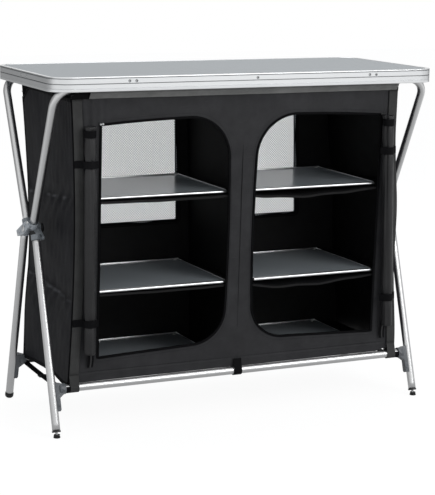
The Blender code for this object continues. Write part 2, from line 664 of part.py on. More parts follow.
def make_walls():
    half = BODY_HALF_WIDTH
    top = slope(WALL_TOP)
    sheet = [(-half, 0.0), (half, 0.0), (half, top), (-half, top)]
    front = prism("front_panel", [sheet, door_outline(-1), door_outline(1)], WALL, FABRIC)
    lean_wall(front, -1)

    def window(sx, shrink):
        low, high = slope(WINDOW_BOTTOM) + shrink, slope(WINDOW_TOP) - shrink
        a, b = WINDOW_INNER + shrink, WINDOW_OUTER - shrink
        return [(sx * a, low), (sx * b, low), (sx * b, high), (sx * a, high)]

    back = prism("back_panel", [sheet, window(-1, 0.0), window(1, 0.0)], WALL, FABRIC)
    lean_wall(back, 1)
    for side, sx in SIDES.items():
        net = prism(f"mesh_window_{side}", [window(sx, GAP)], WALL * 0.5, NETTING)
        lean_wall(net, 1)

    low = FLOOR_TOP + GAP
    divider = [(-inner_y(low), low), (inner_y(low), low),
               (inner_y(WALL_TOP), WALL_TOP), (-inner_y(WALL_TOP), WALL_TOP)]
    along_x(prism("centre_divider", [divider], WALL, LINING), 0.0)
    for side, sx in SIDES.items():
        cloth(f"side_panel_{side}", lambda u, v, sx=sx: side_wall_point(sx, u, v),
              *SIDE_PANEL_GRID, FABRIC)

    inside = half - WALL - GAP
    deep = inner_y(FLOOR_TOP - WALL)
    floor = prism("floor_panel", [[(-inside, -deep), (inside, -deep), (inside, deep),
                                   (-inside, deep)]], WALL, LINING)
    floor.location.z = FLOOR_TOP - WALL / 2


def make_shelves():
    """A cloth sling and a loose board at each level; the floor panel carries the lowest ones."""
    board_in = DOOR_INNER + SHELF_SIDE_GAP
    board_out = DOOR_OUTER - SHELF_SIDE_GAP
    room = min(inner_y(SHELF_MIDDLE), inner_y(SHELF_UPPER))
    for level, top in (("upper", SHELF_UPPER), ("middle", SHELF_MIDDLE), ("lower", SHELF_LOWER)):
        for side, sx in SIDES.items():
            front, rear = SHELF_SETBACK - room, room - SHELF_REAR_GAP
            if level == "lower":
                front = -inner_y(FLOOR_TOP) + SHELF_SIDE_GAP
                rear = -front
            r = SHELF_THICK / 2
            section = arc((front + r, 0.0), r, 90, 270, 4) + [(rear, -r), (rear, r)]
            board = prism(f"shelf_board_{level}_{side}", [section], board_out - board_in,
                          SHELF_FACE)
            along_x(board, sx * (board_in + board_out) / 2, 0.0, top - r)
            if level == "lower":
                continue
            under = top - SHELF_THICK - GAP
            cloth(f"shelf_sling_{level}_{side}",
                  lambda u, v, sx=sx, under=under: sling_point(sx, under, u, v),
                  *SLING_GRID, LINING)


def make_door_rolls():
    """The doors, rolled up outwards and tied: each roll lies along the front panel."""
    way = Vector((0.0, -math.sin(WALL_LEAN), math.cos(WALL_LEAN)))
    out = Vector((0.0, -math.cos(WALL_LEAN), -math.sin(WALL_LEAN)))
    length = (ROLL_TOP - ROLL_BOTTOM) / math.cos(WALL_LEAN)
    ties = [ROLL_LOW_TIE / math.cos(WALL_LEAN)]
    ties += [length - tie / math.cos(WALL_LEAN) for tie in ROLL_HIGH_TIES]
    levels = {0.0, length}
    for tie in ties:
        levels.update(tie + step * ROLL_WAIST_LENGTH for step in (-2.0, -1.0, -0.4, 0.4, 1.0, 2.0))
    levels = sorted(level for level in levels if 0.0 <= level <= length)

    def radius(level):
        """The roll is drawn in under each tie and at its ends, and fuller between them."""
        pinch = sum(math.exp(-((level - tie) / ROLL_WAIST_LENGTH) ** 2) for tie in ties)
        if level in (0.0, length):
            pinch = 1.0
        return ROLL_R - (ROLL_R - ROLL_WAIST_R) * min(pinch, 1.0)

    for side, sx in SIDES.items():
        start = Vector((sx * ROLL_CENTRE, -wall_y(ROLL_BOTTOM), ROLL_BOTTOM)) + out * (
            ROLL_R + GAP)
        profile = [(0.0, length)] + [(radius(z), z) for z in levels[::-1]] + [(0.0, 0.0)]
        roll = turned(f"door_roll_{side}", profile, FABRIC, sides=SMALL_SIDES)
        put(roll, start, way)


def band(name, route, width, x, finish):
    """Flat webbing: a route in the YZ plane, given the webbing's thickness and width."""
    edge = []
    for turn in (1, -1):
        run = []
        for i, (y, z) in enumerate(route):
            before, after = route[max(i - 1, 0)], route[min(i + 1, len(route) - 1)]
            way = Vector((after[0] - before[0], after[1] - before[1])).normalized()
            run.append((y - way.y * turn * WEB_THICK / 2, z + way.x * turn * WEB_THICK / 2))
        edge += run[::turn]
    return along_x(prism(name, [edge], width, finish), x)


def make_webbing():
    loop_r = TUBE_R + WEB_LOOP_GAP + WEB_THICK / 2
    for end, sy in ENDS.items():
        bar = (sy * LOW_BAR_Y, LOW_BAR_HEIGHT)
        start = 0 if sy > 0 else 180
        round_bar = arc(bar, loop_r, start, start - sy * 180, 9)
        top = (sy * (wall_y(WALL_TOP) + GAP + WEB_THICK), WALL_TOP)
        leave = (sy * (wall_y(LOOP_TOP) + GAP + WEB_THICK), LOOP_TOP)
        tuck = (bar[0] - sy * loop_r, HEM_HEIGHT - GAP)
        for side, sx in SIDES.items():
            x = sx * (BODY_HALF_WIDTH - CORNER_WEB_INSET - CORNER_WEB_WIDTH / 2)
            band(f"corner_webbing_{end}_{side}", [top, leave] + round_bar + [tuck],
                 CORNER_WEB_WIDTH, x, WEBBING)
        band(f"centre_loop_{end}", [leave] + round_bar + [tuck], LOOP_WIDTH, LOOP_AT, WEBBING)
    for side, sx in SIDES.items():
        front = arc((-LOW_BAR_Y, LOW_BAR_HEIGHT), loop_r, 165, 270, 5)
        rear = arc((LOW_BAR_Y, LOW_BAR_HEIGHT), loop_r, 270, 375, 5)
        band(f"limiter_strap_{side}", front + rear, LIMITER_WIDTH,
             sx * LIMITER_X, WEBBING)


def make_sleeves():
    """Hems of the cabinet that the top bars run through."""
    for end, sy in ENDS.items():
        rings = [arc((0.0, 0.0), r, 0, 337.5, 15) for r in (SLEEVE_R, BORE_R)]
        along_x(prism(f"top_sleeve_{end}", rings, SLEEVE_LENGTH, SLEEVE_CLOTH),
                SLEEVE_SLID, sy * TOP_BAR_Y, TOP_BAR_Z)


def shade_round_pieces():
    round_words = ("bow", "leg", "bar", "hub", "bolt", "foot", "roll", "sleeve")
    for thing in CUPBOARD.objects:
        if any(word in thing.name for word in round_words):
            thing.data.shade_smooth()
            thing.data.set_sharp_from_angle(angle=math.radians(35))


REAR_TUBE_END = rear_end_height()
make_worktop()
make_clips()
make_top_bows()
make_lower_legs(REAR_TUBE_END)
make_hubs()
make_brackets()
make_feet(REAR_TUBE_END)
make_walls()
make_shelves()
make_door_rolls()
make_webbing()
make_sleeves()
shade_round_pieces()
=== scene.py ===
"""Looks of the folding camp kitchen cupboard, in metres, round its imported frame.

+X runs to the right along the worktop, -Y faces the doors and +Z is up. Each surface is worked
out with numpy: a grid of points for two parameters, or a section carried along a path.
"""
import json
import math

import bmesh
import bpy
import numpy as np
from mathutils import Matrix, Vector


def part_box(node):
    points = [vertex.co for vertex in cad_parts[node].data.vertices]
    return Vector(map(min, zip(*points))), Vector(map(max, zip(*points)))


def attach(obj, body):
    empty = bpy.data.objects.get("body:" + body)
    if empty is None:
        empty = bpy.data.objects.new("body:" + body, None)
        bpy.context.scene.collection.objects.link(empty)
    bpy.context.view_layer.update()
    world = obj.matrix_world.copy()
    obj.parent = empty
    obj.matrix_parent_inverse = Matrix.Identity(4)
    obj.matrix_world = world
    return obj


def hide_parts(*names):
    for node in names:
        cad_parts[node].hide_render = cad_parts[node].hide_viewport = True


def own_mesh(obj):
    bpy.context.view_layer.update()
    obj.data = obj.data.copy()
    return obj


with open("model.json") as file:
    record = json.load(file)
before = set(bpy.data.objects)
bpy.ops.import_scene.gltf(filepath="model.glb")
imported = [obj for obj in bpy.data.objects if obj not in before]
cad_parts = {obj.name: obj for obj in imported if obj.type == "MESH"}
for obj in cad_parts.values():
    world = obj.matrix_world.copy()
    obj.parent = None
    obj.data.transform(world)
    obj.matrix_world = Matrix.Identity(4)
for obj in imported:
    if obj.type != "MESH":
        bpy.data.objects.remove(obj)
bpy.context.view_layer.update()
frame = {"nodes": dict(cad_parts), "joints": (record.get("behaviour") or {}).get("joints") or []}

SIDES = {"left": -1, "right": 1}
ENDS = {"front": -1, "rear": 1}
BAR_BODY = {"front": "bow_rear", "rear": "bow_front"}   # what carries each bottom bar
CORNERS = [(end, sy, side, sx) for end, sy in ENDS.items() for side, sx in SIDES.items()]
LEVELS = ("upper", "middle", "lower")
X_AXIS, Y_AXIS, Z_AXIS = np.eye(3)


# ---------------------------------------------------------------- sizes from the frame

def box(node):
    low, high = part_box(node)
    return np.array(low), np.array(high)


JOINTS = {joint["name"]: joint for joint in frame["joints"]}
HUB_Z = JOINTS["frame_fold"]["pos_m"][2]
TOP_BAR_Y, TOP_BAR_Z = JOINTS["worktop_level"]["pos_m"][1:]
LEG_WAY = np.abs(JOINTS["levelling_screw_left"]["axis"])
LEG_LEAN = math.atan2(LEG_WAY[1], LEG_WAY[2])

EDGE_LOW, EDGE_HIGH = box("worktop_edge_profile")
PANEL_LOW, PANEL_HIGH = box("front_panel")
BAR_LOW, BAR_HIGH = box("bottom_bar_rear")
BOARD_HIGH = box("worktop_board")[1]
ROLL_LOW, ROLL_HIGH = box("door_roll_right")
NET_LOW, NET_HIGH = box("mesh_window_right")
SLEEVE_LOW, SLEEVE_HIGH = box("top_sleeve_front")

TUBE_R = 0.0095
TUBE_WALL = 0.0012
BEND_R = 0.049
LEG_X = box("top_bow_front")[1][0] - TUBE_R
LOW_BAR_Y, LOW_BAR_Z = ((BAR_LOW + BAR_HIGH) / 2)[1:]
BAR_HALF = BAR_HIGH[0]
WORKTOP_CORNER_R = 0.050
RIVETS_X = (-0.316, -0.299, 0.007, 0.309, 0.327)    # of the worktop's edge, along its long sides
RIVETS_Y = (0.009, -0.033)                          # and along its ends
UPPER_END = np.array((0.0238, HUB_Z + 0.0120))      # where the upper tubes end: y, z
LOWER_END = np.array((0.0420, HUB_Z - 0.0144))      # where the lower tubes end
FRONT_TUBE_FOOT = 0.0160
REAR_TUBE_FOOT = 0.0087
RIVET_AT = 0.0078                   # rivets of the hubs, along the tubes from their ends

# The cabinet's walls lean: they follow the legs' spread from the hem to the top
CLOTH = 0.0008                      # thickness of the polyester
CAD_WALL = 0.003
BODY_HALF = PANEL_HIGH[0]
HEM_Z = PANEL_LOW[2]
WALL_TOP = PANEL_HIGH[2]
WALL_HEIGHT = WALL_TOP - HEM_Z
WALL_SLOPE = (-PANEL_LOW[1] + PANEL_HIGH[1] - CAD_WALL) / WALL_HEIGHT
HEM_Y = -PANEL_HIGH[1] + CAD_WALL
WALL_LEAN = math.atan(WALL_SLOPE)
PANEL_TOP = WALL_TOP - 0.0045       # the panel is sewn to the sleeve's skirt here
COLUMN_SHIFT = -0.006               # the column between the doors hangs to the left

SHELF_TOP = {level: box(f"shelf_board_{level}_left")[1][2] for level in LEVELS}
SHELF_REAR = {level: box(f"shelf_board_{level}_left")[1][1] for level in LEVELS}
SHELF_IN, SHELF_OUT = (corner[0] for corner in box("shelf_board_upper_right"))
BOARD_THICK = 0.007

DOOR_IN, DOOR_OUT = SHELF_IN - 0.002, SHELF_OUT + 0.002
DOOR_HEAD, DOOR_SILL = 0.7385, 0.1865
DOOR_HEAD_R, DOOR_SILL_R = 0.103, 0.087
DOOR_HEAD_DROP, DOOR_SILL_DROP = 0.011, 0.013       # towards the outer corners
DOOR_CENTRE = (0.215, 0.455)        # a point in the right opening, from which its grid spreads
HEM_SEAM, HEAD_SEAM = HEM_Z + 0.0225, PANEL_TOP - 0.0085
HEM_GROOVE = HEM_Z + 0.0205
SIDE_HEAD = 0.7925                  # a side wall's upper edge at its highest
TAB_FOOT, TAB_HEAD = 0.7880, 0.8035         # the binding at the walls' top corners

# Creases of the side walls along the slings' seams: height, and slope towards the rear
SEAM_TILT = {"middle": 0.055, "upper": -0.075}
CREASE_LINES = ((SHELF_TOP["middle"] - 0.012, SEAM_TILT["middle"]),
                (SHELF_TOP["upper"] - 0.010, SEAM_TILT["upper"]))

LIMITER_OUT = 0.0060                # the limiter straps lie further out than their nodes
LIMITER_WIDTH = 0.0165
GLIDE_Y = 0.018                     # their buckles lie behind the middle
CORNER_WEB = 0.023                  # width of the webbing at the cabinet's corners
SLEEVE_R = 0.0112
ROLL_R = 0.0155                     # a rolled door, measured at its ends
TIE_R = (0.0134, 0.0140)            # the ties round it, across and outwards
TIE_WIDTH, TIE_END_WIDTH = 0.0165, 0.0175
EYELETS_AT = (0.46, 0.66)           # the hubs' eyelets, as shares of the way to the rivets
SOCKET_DRAW = 0.58                  # share of a socket's open end that is drawn in
LOOP_R = TUBE_R + 0.0007 + 0.00075  # middle of the webbing that loops round a bottom bar
SLEEVE_RIGHT = SLEEVE_HIGH[0] - 0.0120      # the sleeves end sooner than their nodes here

# The camera fitted to the photograph, and the lamps: place, target, size and power
CAMERA_AT = np.array((-1.673, -3.634, 1.142))
AZIMUTH, ELEVATION, ROLL = np.radians((-24.83, 10.69, 0.73))
LENS = 117.75
LAMPS = {"key_lamp": ((1.6, -3.2, 2.4), (0.0, 0.0, 0.5), 1.8, 50.0),
         "side_lamp": ((-3.2, -1.0, 1.6), (0.0, 0.0, 0.5), 1.6, 3.0),
         "top_lamp": ((0.2, 0.6, 3.2), (0.0, 0.0, 0.6), 2.2, 26.0)}
FLOOR_REACH = 12.0


def wall_y(z):
    """Distance of the front and back walls' outer faces from the middle plane at height z."""
    return HEM_Y + (np.asarray(z, float) - HEM_Z) * WALL_SLOPE


# ---------------------------------------------------------------- node groups

VECTOR, FLOAT = "NodeSocketVector", "NodeSocketFloat"


def tree(name, inputs, outputs):
    """An empty shader group, its nodes, and the ends of its sockets inside it."""
    group = bpy.data.node_groups.new(name, "ShaderNodeTree")
    for label, kind, value in inputs:
        socket = group.interface.new_socket(label, in_out="INPUT", socket_type=kind)
        if value is not None:
            socket.default_value = value
    for label, kind in outputs:
        group.interface.new_socket(label, in_out="OUTPUT", socket_type=kind)
    n = Nodes(group)
    return group, n, n.add("NodeGroupInput").outputs, n.add("NodeGroupOutput").inputs


class Nodes:
    """Short calls for the nodes of one tree."""

    def __init__(self, where):
        self.where = where

    def add(self, kind, **settings):
        node = self.where.nodes.new(kind)
        for key, value in settings.items():
            setattr(node, key, value)
        return node

    def link(self, source, target):
        self.where.links.new(source, target)

    def fill(self, socket, value):
        if isinstance(value, bpy.types.NodeSocket):
            self.link(value, socket)
        else:
            socket.default_value = value

    def maths(self, operation, *values, clamp=False):
        node = self.add("ShaderNodeMath", operation=operation, use_clamp=clamp)
        for socket, value in zip(node.inputs, values):
            self.fill(socket, value)
        return node.outputs[0]

    def blend(self, factor, first, second):
        node = self.add("ShaderNodeMix", data_type="RGBA")
        self.fill(node.inputs[0], factor)
        self.fill(node.inputs[6], first)
        self.fill(node.inputs[7], second)
        return node.outputs[2]

    def noise(self, place, scale, detail=2.0, roughness=0.5):
        node = self.add("ShaderNodeTexNoise")
        self.link(place, node.inputs["Vector"])
        for label, value in (("Scale", scale), ("Detail", detail), ("Roughness", roughness)):
            self.fill(node.inputs[label], value)
        return node.outputs["Fac"]

    def stretched(self, place, factors):
        node = self.add("ShaderNodeMapping")
        node.inputs["Scale"].default_value = factors
        self.link(place, node.inputs["Vector"])
        return node.outputs["Vector"]

    def split(self, place):
        node = self.add("ShaderNodeSeparateXYZ")
        self.link(place, node.inputs[0])
        return node.outputs

    def spread(self, value, low, high, to_low=0.0, to_high=1.0):
        node = self.add("ShaderNodeMapRange")
        self.fill(node.inputs["Value"], value)
        for label, number in (("From Min", low), ("From Max", high),
                              ("To Min", to_low), ("To Max", to_high)):
            self.fill(node.inputs[label], number)
        return node.outputs["Result"]


def colour(red, green, blue):
    return (red, green, blue, 1.0)


def make_weave_group():
    """Plain weave on UV in metres: two crossed sine waves, a thread's width apart, with slubs.
    Thread height goes out for Bump, and a slow mottle for the dye."""
    group, n, given, result = tree(
        "cloth_weave", [("Place", VECTOR, None), ("Thread", FLOAT, 0.0006),
                        ("Mottle Size", FLOAT, 30.0)], [("Height", FLOAT), ("Mottle", FLOAT)])
    parts = n.split(given["Place"])
    turn = n.maths("DIVIDE", math.pi, given["Thread"])
    waves = [n.maths("SINE", n.maths("MULTIPLY", parts[k], turn)) for k in (0, 1)]
    cross = n.maths("ABSOLUTE", n.maths("MULTIPLY", waves[0], waves[1]))
    slub = n.noise(n.stretched(given["Place"], (900.0, 60.0, 1.0)), 1.0)
    n.link(n.maths("MULTIPLY_ADD", slub, 0.35, cross), result["Height"])
    slow = n.noise(given["Place"], given["Mottle Size"], 4.0, 0.6)
    n.link(n.spread(slow, 0.32, 0.68), result["Mottle"])
    return group


def make_wear_group():
    """Handling marks: fine scratches and rubbed patches, as one mask from 0 to 1."""
    group, n, given, result = tree(
        "rubbed_marks", [("Place", VECTOR, None), ("Size", FLOAT, 12.0), ("Amount", FLOAT, 0.5)],
        [("Mask", FLOAT), ("Height", FLOAT)])
    patch = n.noise(given["Place"], given["Size"], 5.0, 0.62)
    rubbed = n.spread(patch, 0.50, 0.72)
    streak = n.noise(n.stretched(given["Place"], (35.0, 420.0, 420.0)), 1.0, 3.0)
    scratch = n.spread(streak, 0.62, 0.74)
    both = n.maths("MAXIMUM", rubbed, scratch)
    n.link(n.maths("MULTIPLY", both, given["Amount"], clamp=True), result["Mask"])
    n.link(n.maths("SUBTRACT", 1.0, scratch), result["Height"])
    return group


def make_grain_group():
    """Fine moulded or drawn grain: noise stretched along one direction."""
    group, n, given, result = tree(
        "fine_grain", [("Place", VECTOR, None), ("Fineness", FLOAT, 900.0)], [("Height", FLOAT)])
    n.link(n.noise(given["Place"], given["Fineness"], 3.0, 0.6), result["Height"])
    return group


WEAVE, WEAR, GRAIN = make_weave_group(), make_wear_group(), make_grain_group()


class Finish(Nodes):
    """A material with one Principled shader, whose constants sit on its own sockets."""

    def __init__(self, name, slot, **constants):
        self.material = bpy.data.materials.new(name)
        self.material.use_nodes = True
        self.slot = slot
        super().__init__(self.material.node_tree)
        self.shader = self.where.nodes["Principled BSDF"]
        for label, value in constants.items():
            self.shader.inputs[label.replace("_", " ")].default_value = value
        places = self.add("ShaderNodeTexCoord").outputs
        self.uv, self.place = places["UV"], places["Object"]

    def use(self, group, place, **values):
        node = self.add("ShaderNodeGroup")
        node.node_tree = group
        self.link(place, node.inputs["Place"])
        for label, value in values.items():
            node.inputs[label.replace("_", " ")].default_value = value
        return node.outputs

    def bump(self, height, distance, strength=1.0):
        node = self.add("ShaderNodeBump")
        node.inputs["Distance"].default_value = distance
        node.inputs["Strength"].default_value = strength
        self.link(height, node.inputs["Height"])
        self.link(node.outputs["Normal"], self.shader.inputs["Normal"])

    def set(self, label, source):
        self.link(source, self.shader.inputs[label])

    def wear(self, tone, worn, size, amount):
        """The base colour, changed where hands rub; gives the mask of those patches."""
        rubbed = self.use(WEAR, self.place, Size=size, Amount=amount)["Mask"]
        self.set("Base Color", self.blend(rubbed, tone, colour(*worn)))
        return rubbed


def cloth_finish(name, slot, dark, light, rough, thread=0.0006, mottle=30.0, sheen=0.05,
                 specular=0.2):
    """Woven polyester or webbing: the mottle runs from dark to light, threads stand up."""
    made = Finish(name, slot, Sheen_Weight=sheen, Sheen_Roughness=0.45,
                  Specular_IOR_Level=specular)
    weave = made.use(WEAVE, made.uv, Thread=thread, Mottle_Size=mottle)
    tone = made.blend(weave["Mottle"], colour(*dark), colour(*light))
    made.wear(tone, [min(1.0, value * 1.7 + 0.004) for value in light], 7.0, 0.30)
    made.set("Roughness", made.spread(weave["Height"], 0.0, 1.2, rough + 0.08, rough - 0.06))
    made.bump(weave["Height"], thread * 0.25, 0.6)
    return made


def metal_finish(name, slot, base, rough):
    """Drawn aluminium: fine lines along the tube, and rubbed patches that are duller."""
    made = Finish(name, slot, Metallic=1.0)
    line = made.stretched(made.uv, (0.02, 1.0, 1.0))
    grain = made.use(GRAIN, line, Fineness=1500.0)
    rubbed = made.wear(colour(*base), [value * 0.86 for value in base], 9.0, 0.5)
    made.set("Roughness", made.spread(rubbed, 0.0, 1.0, rough, rough + 0.16))
    made.bump(grain["Height"], 0.00002, 0.3)
    return made


def plastic_finish(name, slot, base, rough, pebble=1400.0, depth=0.00005):
    """Moulded plastic or rubber: fine pebbled grain, rubbed a little paler."""
    made = Finish(name, slot)
    grain = made.use(GRAIN, made.place, Fineness=pebble)
    rubbed = made.wear(colour(*base), [value * 1.35 + 0.006 for value in base], 26.0, 0.45)
    made.set("Roughness", made.spread(rubbed, 0.0, 1.0, rough, rough - 0.10))
    made.bump(grain["Height"], depth, 0.5)
    return made


def board_finish(name, slot, base, rough, speck):
    """Laminate or foil on board: a fine print of specks under a satin surface."""
    made = Finish(name, slot, Specular_IOR_Level=0.4)
    fine = made.noise(made.place, 1500.0, 2.0)
    slow = made.noise(made.place, 6.0, 3.0)
    rubbed = made.use(WEAR, made.place, Size=5.0, Amount=0.08)
    darker = tuple(value * (1.0 - speck) for value in base)
    lighter = tuple(min(1.0, value * (1.0 + speck)) for value in base)
    tone = made.blend(made.spread(fine, 0.3, 0.7), colour(*darker), colour(*lighter))
    made.set("Base Color", made.blend(made.spread(slow, 0.2, 0.8, 0.0, 0.25), tone,
                                      colour(*darker)))
    made.set("Roughness", made.spread(rubbed["Mask"], 0.0, 1.0, rough, rough + 0.12))
    made.bump(fine, 0.00003, 0.4)
    return made


def net_finish():
    """White see-through mesh: round holes on a diagonal grid, as Alpha from the UV in metres."""
    made = Finish("window_net", "window_net", Roughness=0.6)
    pitch = 0.0046
    parts = made.split(made.uv)
    waves = [made.maths("COSINE", made.maths("MULTIPLY", parts[k], 2 * math.pi / pitch))
             for k in (0, 1)]
    hole = made.spread(made.maths("ADD", *waves), -0.15, 0.30, 1.0, 0.0)
    thread = made.noise(made.uv, 900.0)
    made.set("Base Color", made.blend(thread, colour(0.80, 0.83, 0.87), colour(0.92, 0.94, 0.96)))
    made.set("Alpha", hole)
    made.bump(hole, 0.0003, 0.5)
    return made


def side_finish_painted_light():
    """The side walls' cloth: the front's polyester, darkened as painted shade, with broken pale
    lines along its two creases, which lie where the slings are sewn to it; the pale lines are
    painted highlights."""
    # A darker copy of the front's charcoal polyester: painted shade
    made = cloth_finish("side_polyester_painted_light", "charcoal_polyester", (0.0098, 0.0100, 0.0120),
                        (0.0142, 0.0144, 0.0170), 0.50, sheen=0.0, specular=0.08)
    parts = made.split(made.uv)
    broken = made.spread(made.noise(made.uv, 30.0, 3.0), 0.38, 0.62)
    tone = made.shader.inputs["Base Color"].links[0].from_socket
    # Broken pale lines along each crease: painted highlight
    for height, tilt in CREASE_LINES:
        line = made.maths("MULTIPLY_ADD", parts[0], tilt, height - 0.0020)
        off = made.maths("ABSOLUTE", made.maths("SUBTRACT", line, parts[1]))
        crest_highlight = made.spread(off, 0.0, 0.0055, 1.0, 0.0)
        tone = made.blend(made.maths("MULTIPLY", crest_highlight, broken), tone,
                          colour(0.085, 0.086, 0.092))
    made.set("Base Color", tone)
    return made


FABRIC = cloth_finish("charcoal_polyester", "charcoal_polyester",
                      (0.021, 0.021, 0.0228), (0.029, 0.029, 0.0312), 0.55)
# The side walls' polyester, with painted shade and painted highlights along its creases
SIDE_FABRIC_PAINTED_LIGHT = side_finish_painted_light()
ROLL_FABRIC = cloth_finish("coated_polyester", "charcoal_polyester",
                           (0.0120, 0.0120, 0.0128), (0.0185, 0.0185, 0.0195), 0.33,
                           specular=0.34)
LINING = cloth_finish("black_lining", "black_lining",
                      (0.0035, 0.0035, 0.0040), (0.0065, 0.0065, 0.0070), 0.55, sheen=0.0)
SLEEVE = cloth_finish("sleeve_cloth", "sleeve_cloth",
                      (0.165, 0.165, 0.160), (0.205, 0.205, 0.198), 0.75)
GREY_WEB = cloth_finish("grey_webbing", "grey_webbing",
                        (0.036, 0.036, 0.0355), (0.050, 0.050, 0.049), 0.7, 0.0011)
BLACK_WEB = cloth_finish("black_webbing", "black_webbing",
                         (0.0030, 0.0030, 0.0036), (0.0050, 0.0050, 0.0058), 0.65, 0.0011,
                         sheen=0.0, specular=0.07)
TUBING = metal_finish("tube_aluminium", "tube_aluminium", (0.66, 0.665, 0.67), 0.34)
EDGING = metal_finish("edge_aluminium", "edge_aluminium", (0.74, 0.755, 0.765), 0.30)
STEEL = metal_finish("bolt_steel", "bolt_steel", (0.62, 0.63, 0.64), 0.28)
LAMINATE = board_finish("worktop_laminate", "worktop_laminate", (0.335, 0.357, 0.371), 0.50, 0.04)
SHELF = board_finish("shelf_board", "shelf_board", (0.32, 0.35, 0.37), 0.19, 0.04)
HUB_PLASTIC = plastic_finish("hub_plastic", "hub_plastic", (0.44, 0.47, 0.50), 0.34)
DARK_CRADLE = plastic_finish("cradle_plastic", "grey_plastic", (0.24, 0.26, 0.28), 0.36)
GREY_PLASTIC = plastic_finish("grey_plastic", "grey_plastic", (0.115, 0.123, 0.132), 0.45)
BLACK_PLASTIC = plastic_finish("black_plastic", "black_plastic", (0.012, 0.012, 0.013), 0.4)
RUBBER = plastic_finish("black_rubber", "black_rubber", (0.012, 0.012, 0.012), 0.6, 900.0)
NET = net_finish()


# ---------------------------------------------------------------- surfaces

FOLDED = []                         # cloth and boards, which flatten when the frame folds


def mm(*numbers):
    """Pairs of millimetres as points in metres."""
    return np.array(numbers, float).reshape(-1, 2) / 1000


def grid_of(first, second):
    return np.meshgrid(first, second, indexing="ij")


def cumulative(points, axis):
    """Mean distance run along one axis of a grid of points."""
    steps = np.linalg.norm(np.diff(points, axis=axis), axis=2).mean(axis=1 - axis)
    return np.concatenate(([0.0], np.cumsum(steps)))


def rebuilt(target, sources, weld=None, after=None):
    """Puts meshes together in one, welds what is nearer than weld and runs a last step."""
    shape = bmesh.new()
    for source in sources:
        shape.from_mesh(source)
    if weld:
        bmesh.ops.remove_doubles(shape, verts=shape.verts, dist=weld)
    if after:
        after(shape)
    shape.to_mesh(target)
    shape.free()
    return target


def face_out(shape):
    bmesh.ops.recalc_face_normals(shape, faces=shape.faces)


def join_flat(shape):
    bmesh.ops.dissolve_limit(shape, angle_limit=math.radians(1.0), verts=shape.verts,
                             edges=shape.edges)


def mesh_of(name, points, closed=(False, False), outward=None, uv=None, caps=False, weld=False,
            flat=False):
    """Quads over a grid of points of shape (rows, columns, 3), or several such grids of shape
    (count, rows, columns, 3). closed joins the last row or column to the first. Faces are turned
    outwards: away from the middle of a closed shape, or towards the direction outward."""
    points = np.asarray(points, float)
    if points.ndim == 3:
        points = points[None]
    count, rows, columns, _ = points.shape
    index = np.arange(rows * columns).reshape(rows, columns)
    grid = points[0]
    if closed[0]:
        index, grid = np.vstack((index, index[:1])), np.concatenate((grid, grid[:1]), axis=0)
    if closed[1]:
        index = np.hstack((index, index[:, :1]))
        grid = np.concatenate((grid, grid[:, :1]), axis=1)
    if uv is None:
        uv = np.stack(grid_of(cumulative(grid, 0), cumulative(grid, 1)), -1)
    here, after = slice(None, -1), slice(1, None)
    corners = [(here, here), (after, here), (after, after), (here, after)]
    quads = np.stack([index[c] for c in corners], -1).reshape(-1, 4)
    quad_uv = np.stack([uv[c] for c in corners], -2).reshape(-1, 4, 2)
    places = points.reshape(count, -1, 3)
    patch = places[0][quads]
    area = np.cross(patch[:, 2] - patch[:, 0], patch[:, 3] - patch[:, 1])
    if outward is None:
        facing = (area * (patch.mean(axis=1) - places[0].mean(axis=0))).sum()
    else:
        facing = area.sum(axis=0) @ np.asarray(outward, float)
    if facing < 0:
        quads, quad_uv = quads[:, ::-1], quad_uv[:, ::-1]
    shift = np.arange(count)[:, None, None] * rows * columns
    faces = (quads[None] + shift).reshape(-1, 4).tolist()
    face_uv = np.tile(quad_uv.reshape(-1, 2), (count, 1))
    if caps:
        for number in range(count):
            for row, turn in ((0, 1), (rows - 1, -1)):
                rim = index[row, :columns] + number * rows * columns
                rim = rim if (turn > 0) == (facing < 0) else rim[::-1]
                faces.append(rim.tolist())
                spot = places[number][rim - number * rows * columns]
                face_uv = np.vstack((face_uv, spot[:, :2]))
    data = bpy.data.meshes.new(name)
    data.from_pydata(places.reshape(-1, 3), [], faces)
    data.uv_layers.new(name="UVMap").data.foreach_set("uv", face_uv.ravel())
    data.polygons.foreach_set("use_smooth", np.full(len(faces), not flat))
    data.update()
    if caps or weld:
        rebuilt(data, [data], 0.000002 if weld else None,
                face_out if caps or outward is None else None)
    return data


def surface(name, points, finish, body="cabinet", replaces=(), lining=None, thick=None, **form):
    """A piece over a grid of points; form holds what mesh_of takes."""
    return piece(name, mesh_of(name, points, **form), finish, body, replaces, lining, thick)


def piece(name, data, finish, body="cabinet", replaces=(), lining=None, thick=None):
    """An object at the origin that rides on a body, with its finish and its CAD nodes."""
    thing = bpy.data.objects.new(name, data)
    bpy.context.scene.collection.objects.link(thing)
    data.materials.append(finish.material)
    if lining:
        data.materials.append(lining.material)
    if thick:
        wall = thing.modifiers.new("thickness", "SOLIDIFY")
        wall.thickness, wall.offset = thick, -1.0
        wall.use_even_offset = False
        wall.material_offset = 1 if lining else 0
    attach(thing, body)
    if replaces:
        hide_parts(replaces)
    if body.startswith(("cabinet", "board_")):
        FOLDED.append(thing)
    return thing


def sharpen(thing, degrees=40.0):
    thing.data.set_sharp_from_angle(angle=math.radians(degrees))
    return thing


def softened(node, name, finish, body, width):
    """A merged copy of a CAD node, whose flat faces are joined and whose edges are rounded."""
    data = rebuilt(bpy.data.meshes.new(name), [frame["nodes"][node].data], 0.00001, join_flat)
    data.polygons.foreach_set("use_smooth", np.full(len(data.polygons), True))
    thing = piece(name, data, finish, body, node)
    edge = thing.modifiers.new("rounded_edges", "BEVEL")
    edge.width, edge.segments = width, 3
    edge.limit_method, edge.angle_limit = "ANGLE", math.radians(30.0)
    edge.use_clamp_overlap, edge.harden_normals = True, True
    return thing


def unit(vector):
    vector = np.asarray(vector, float)
    return vector / np.linalg.norm(vector, axis=-1, keepdims=True)


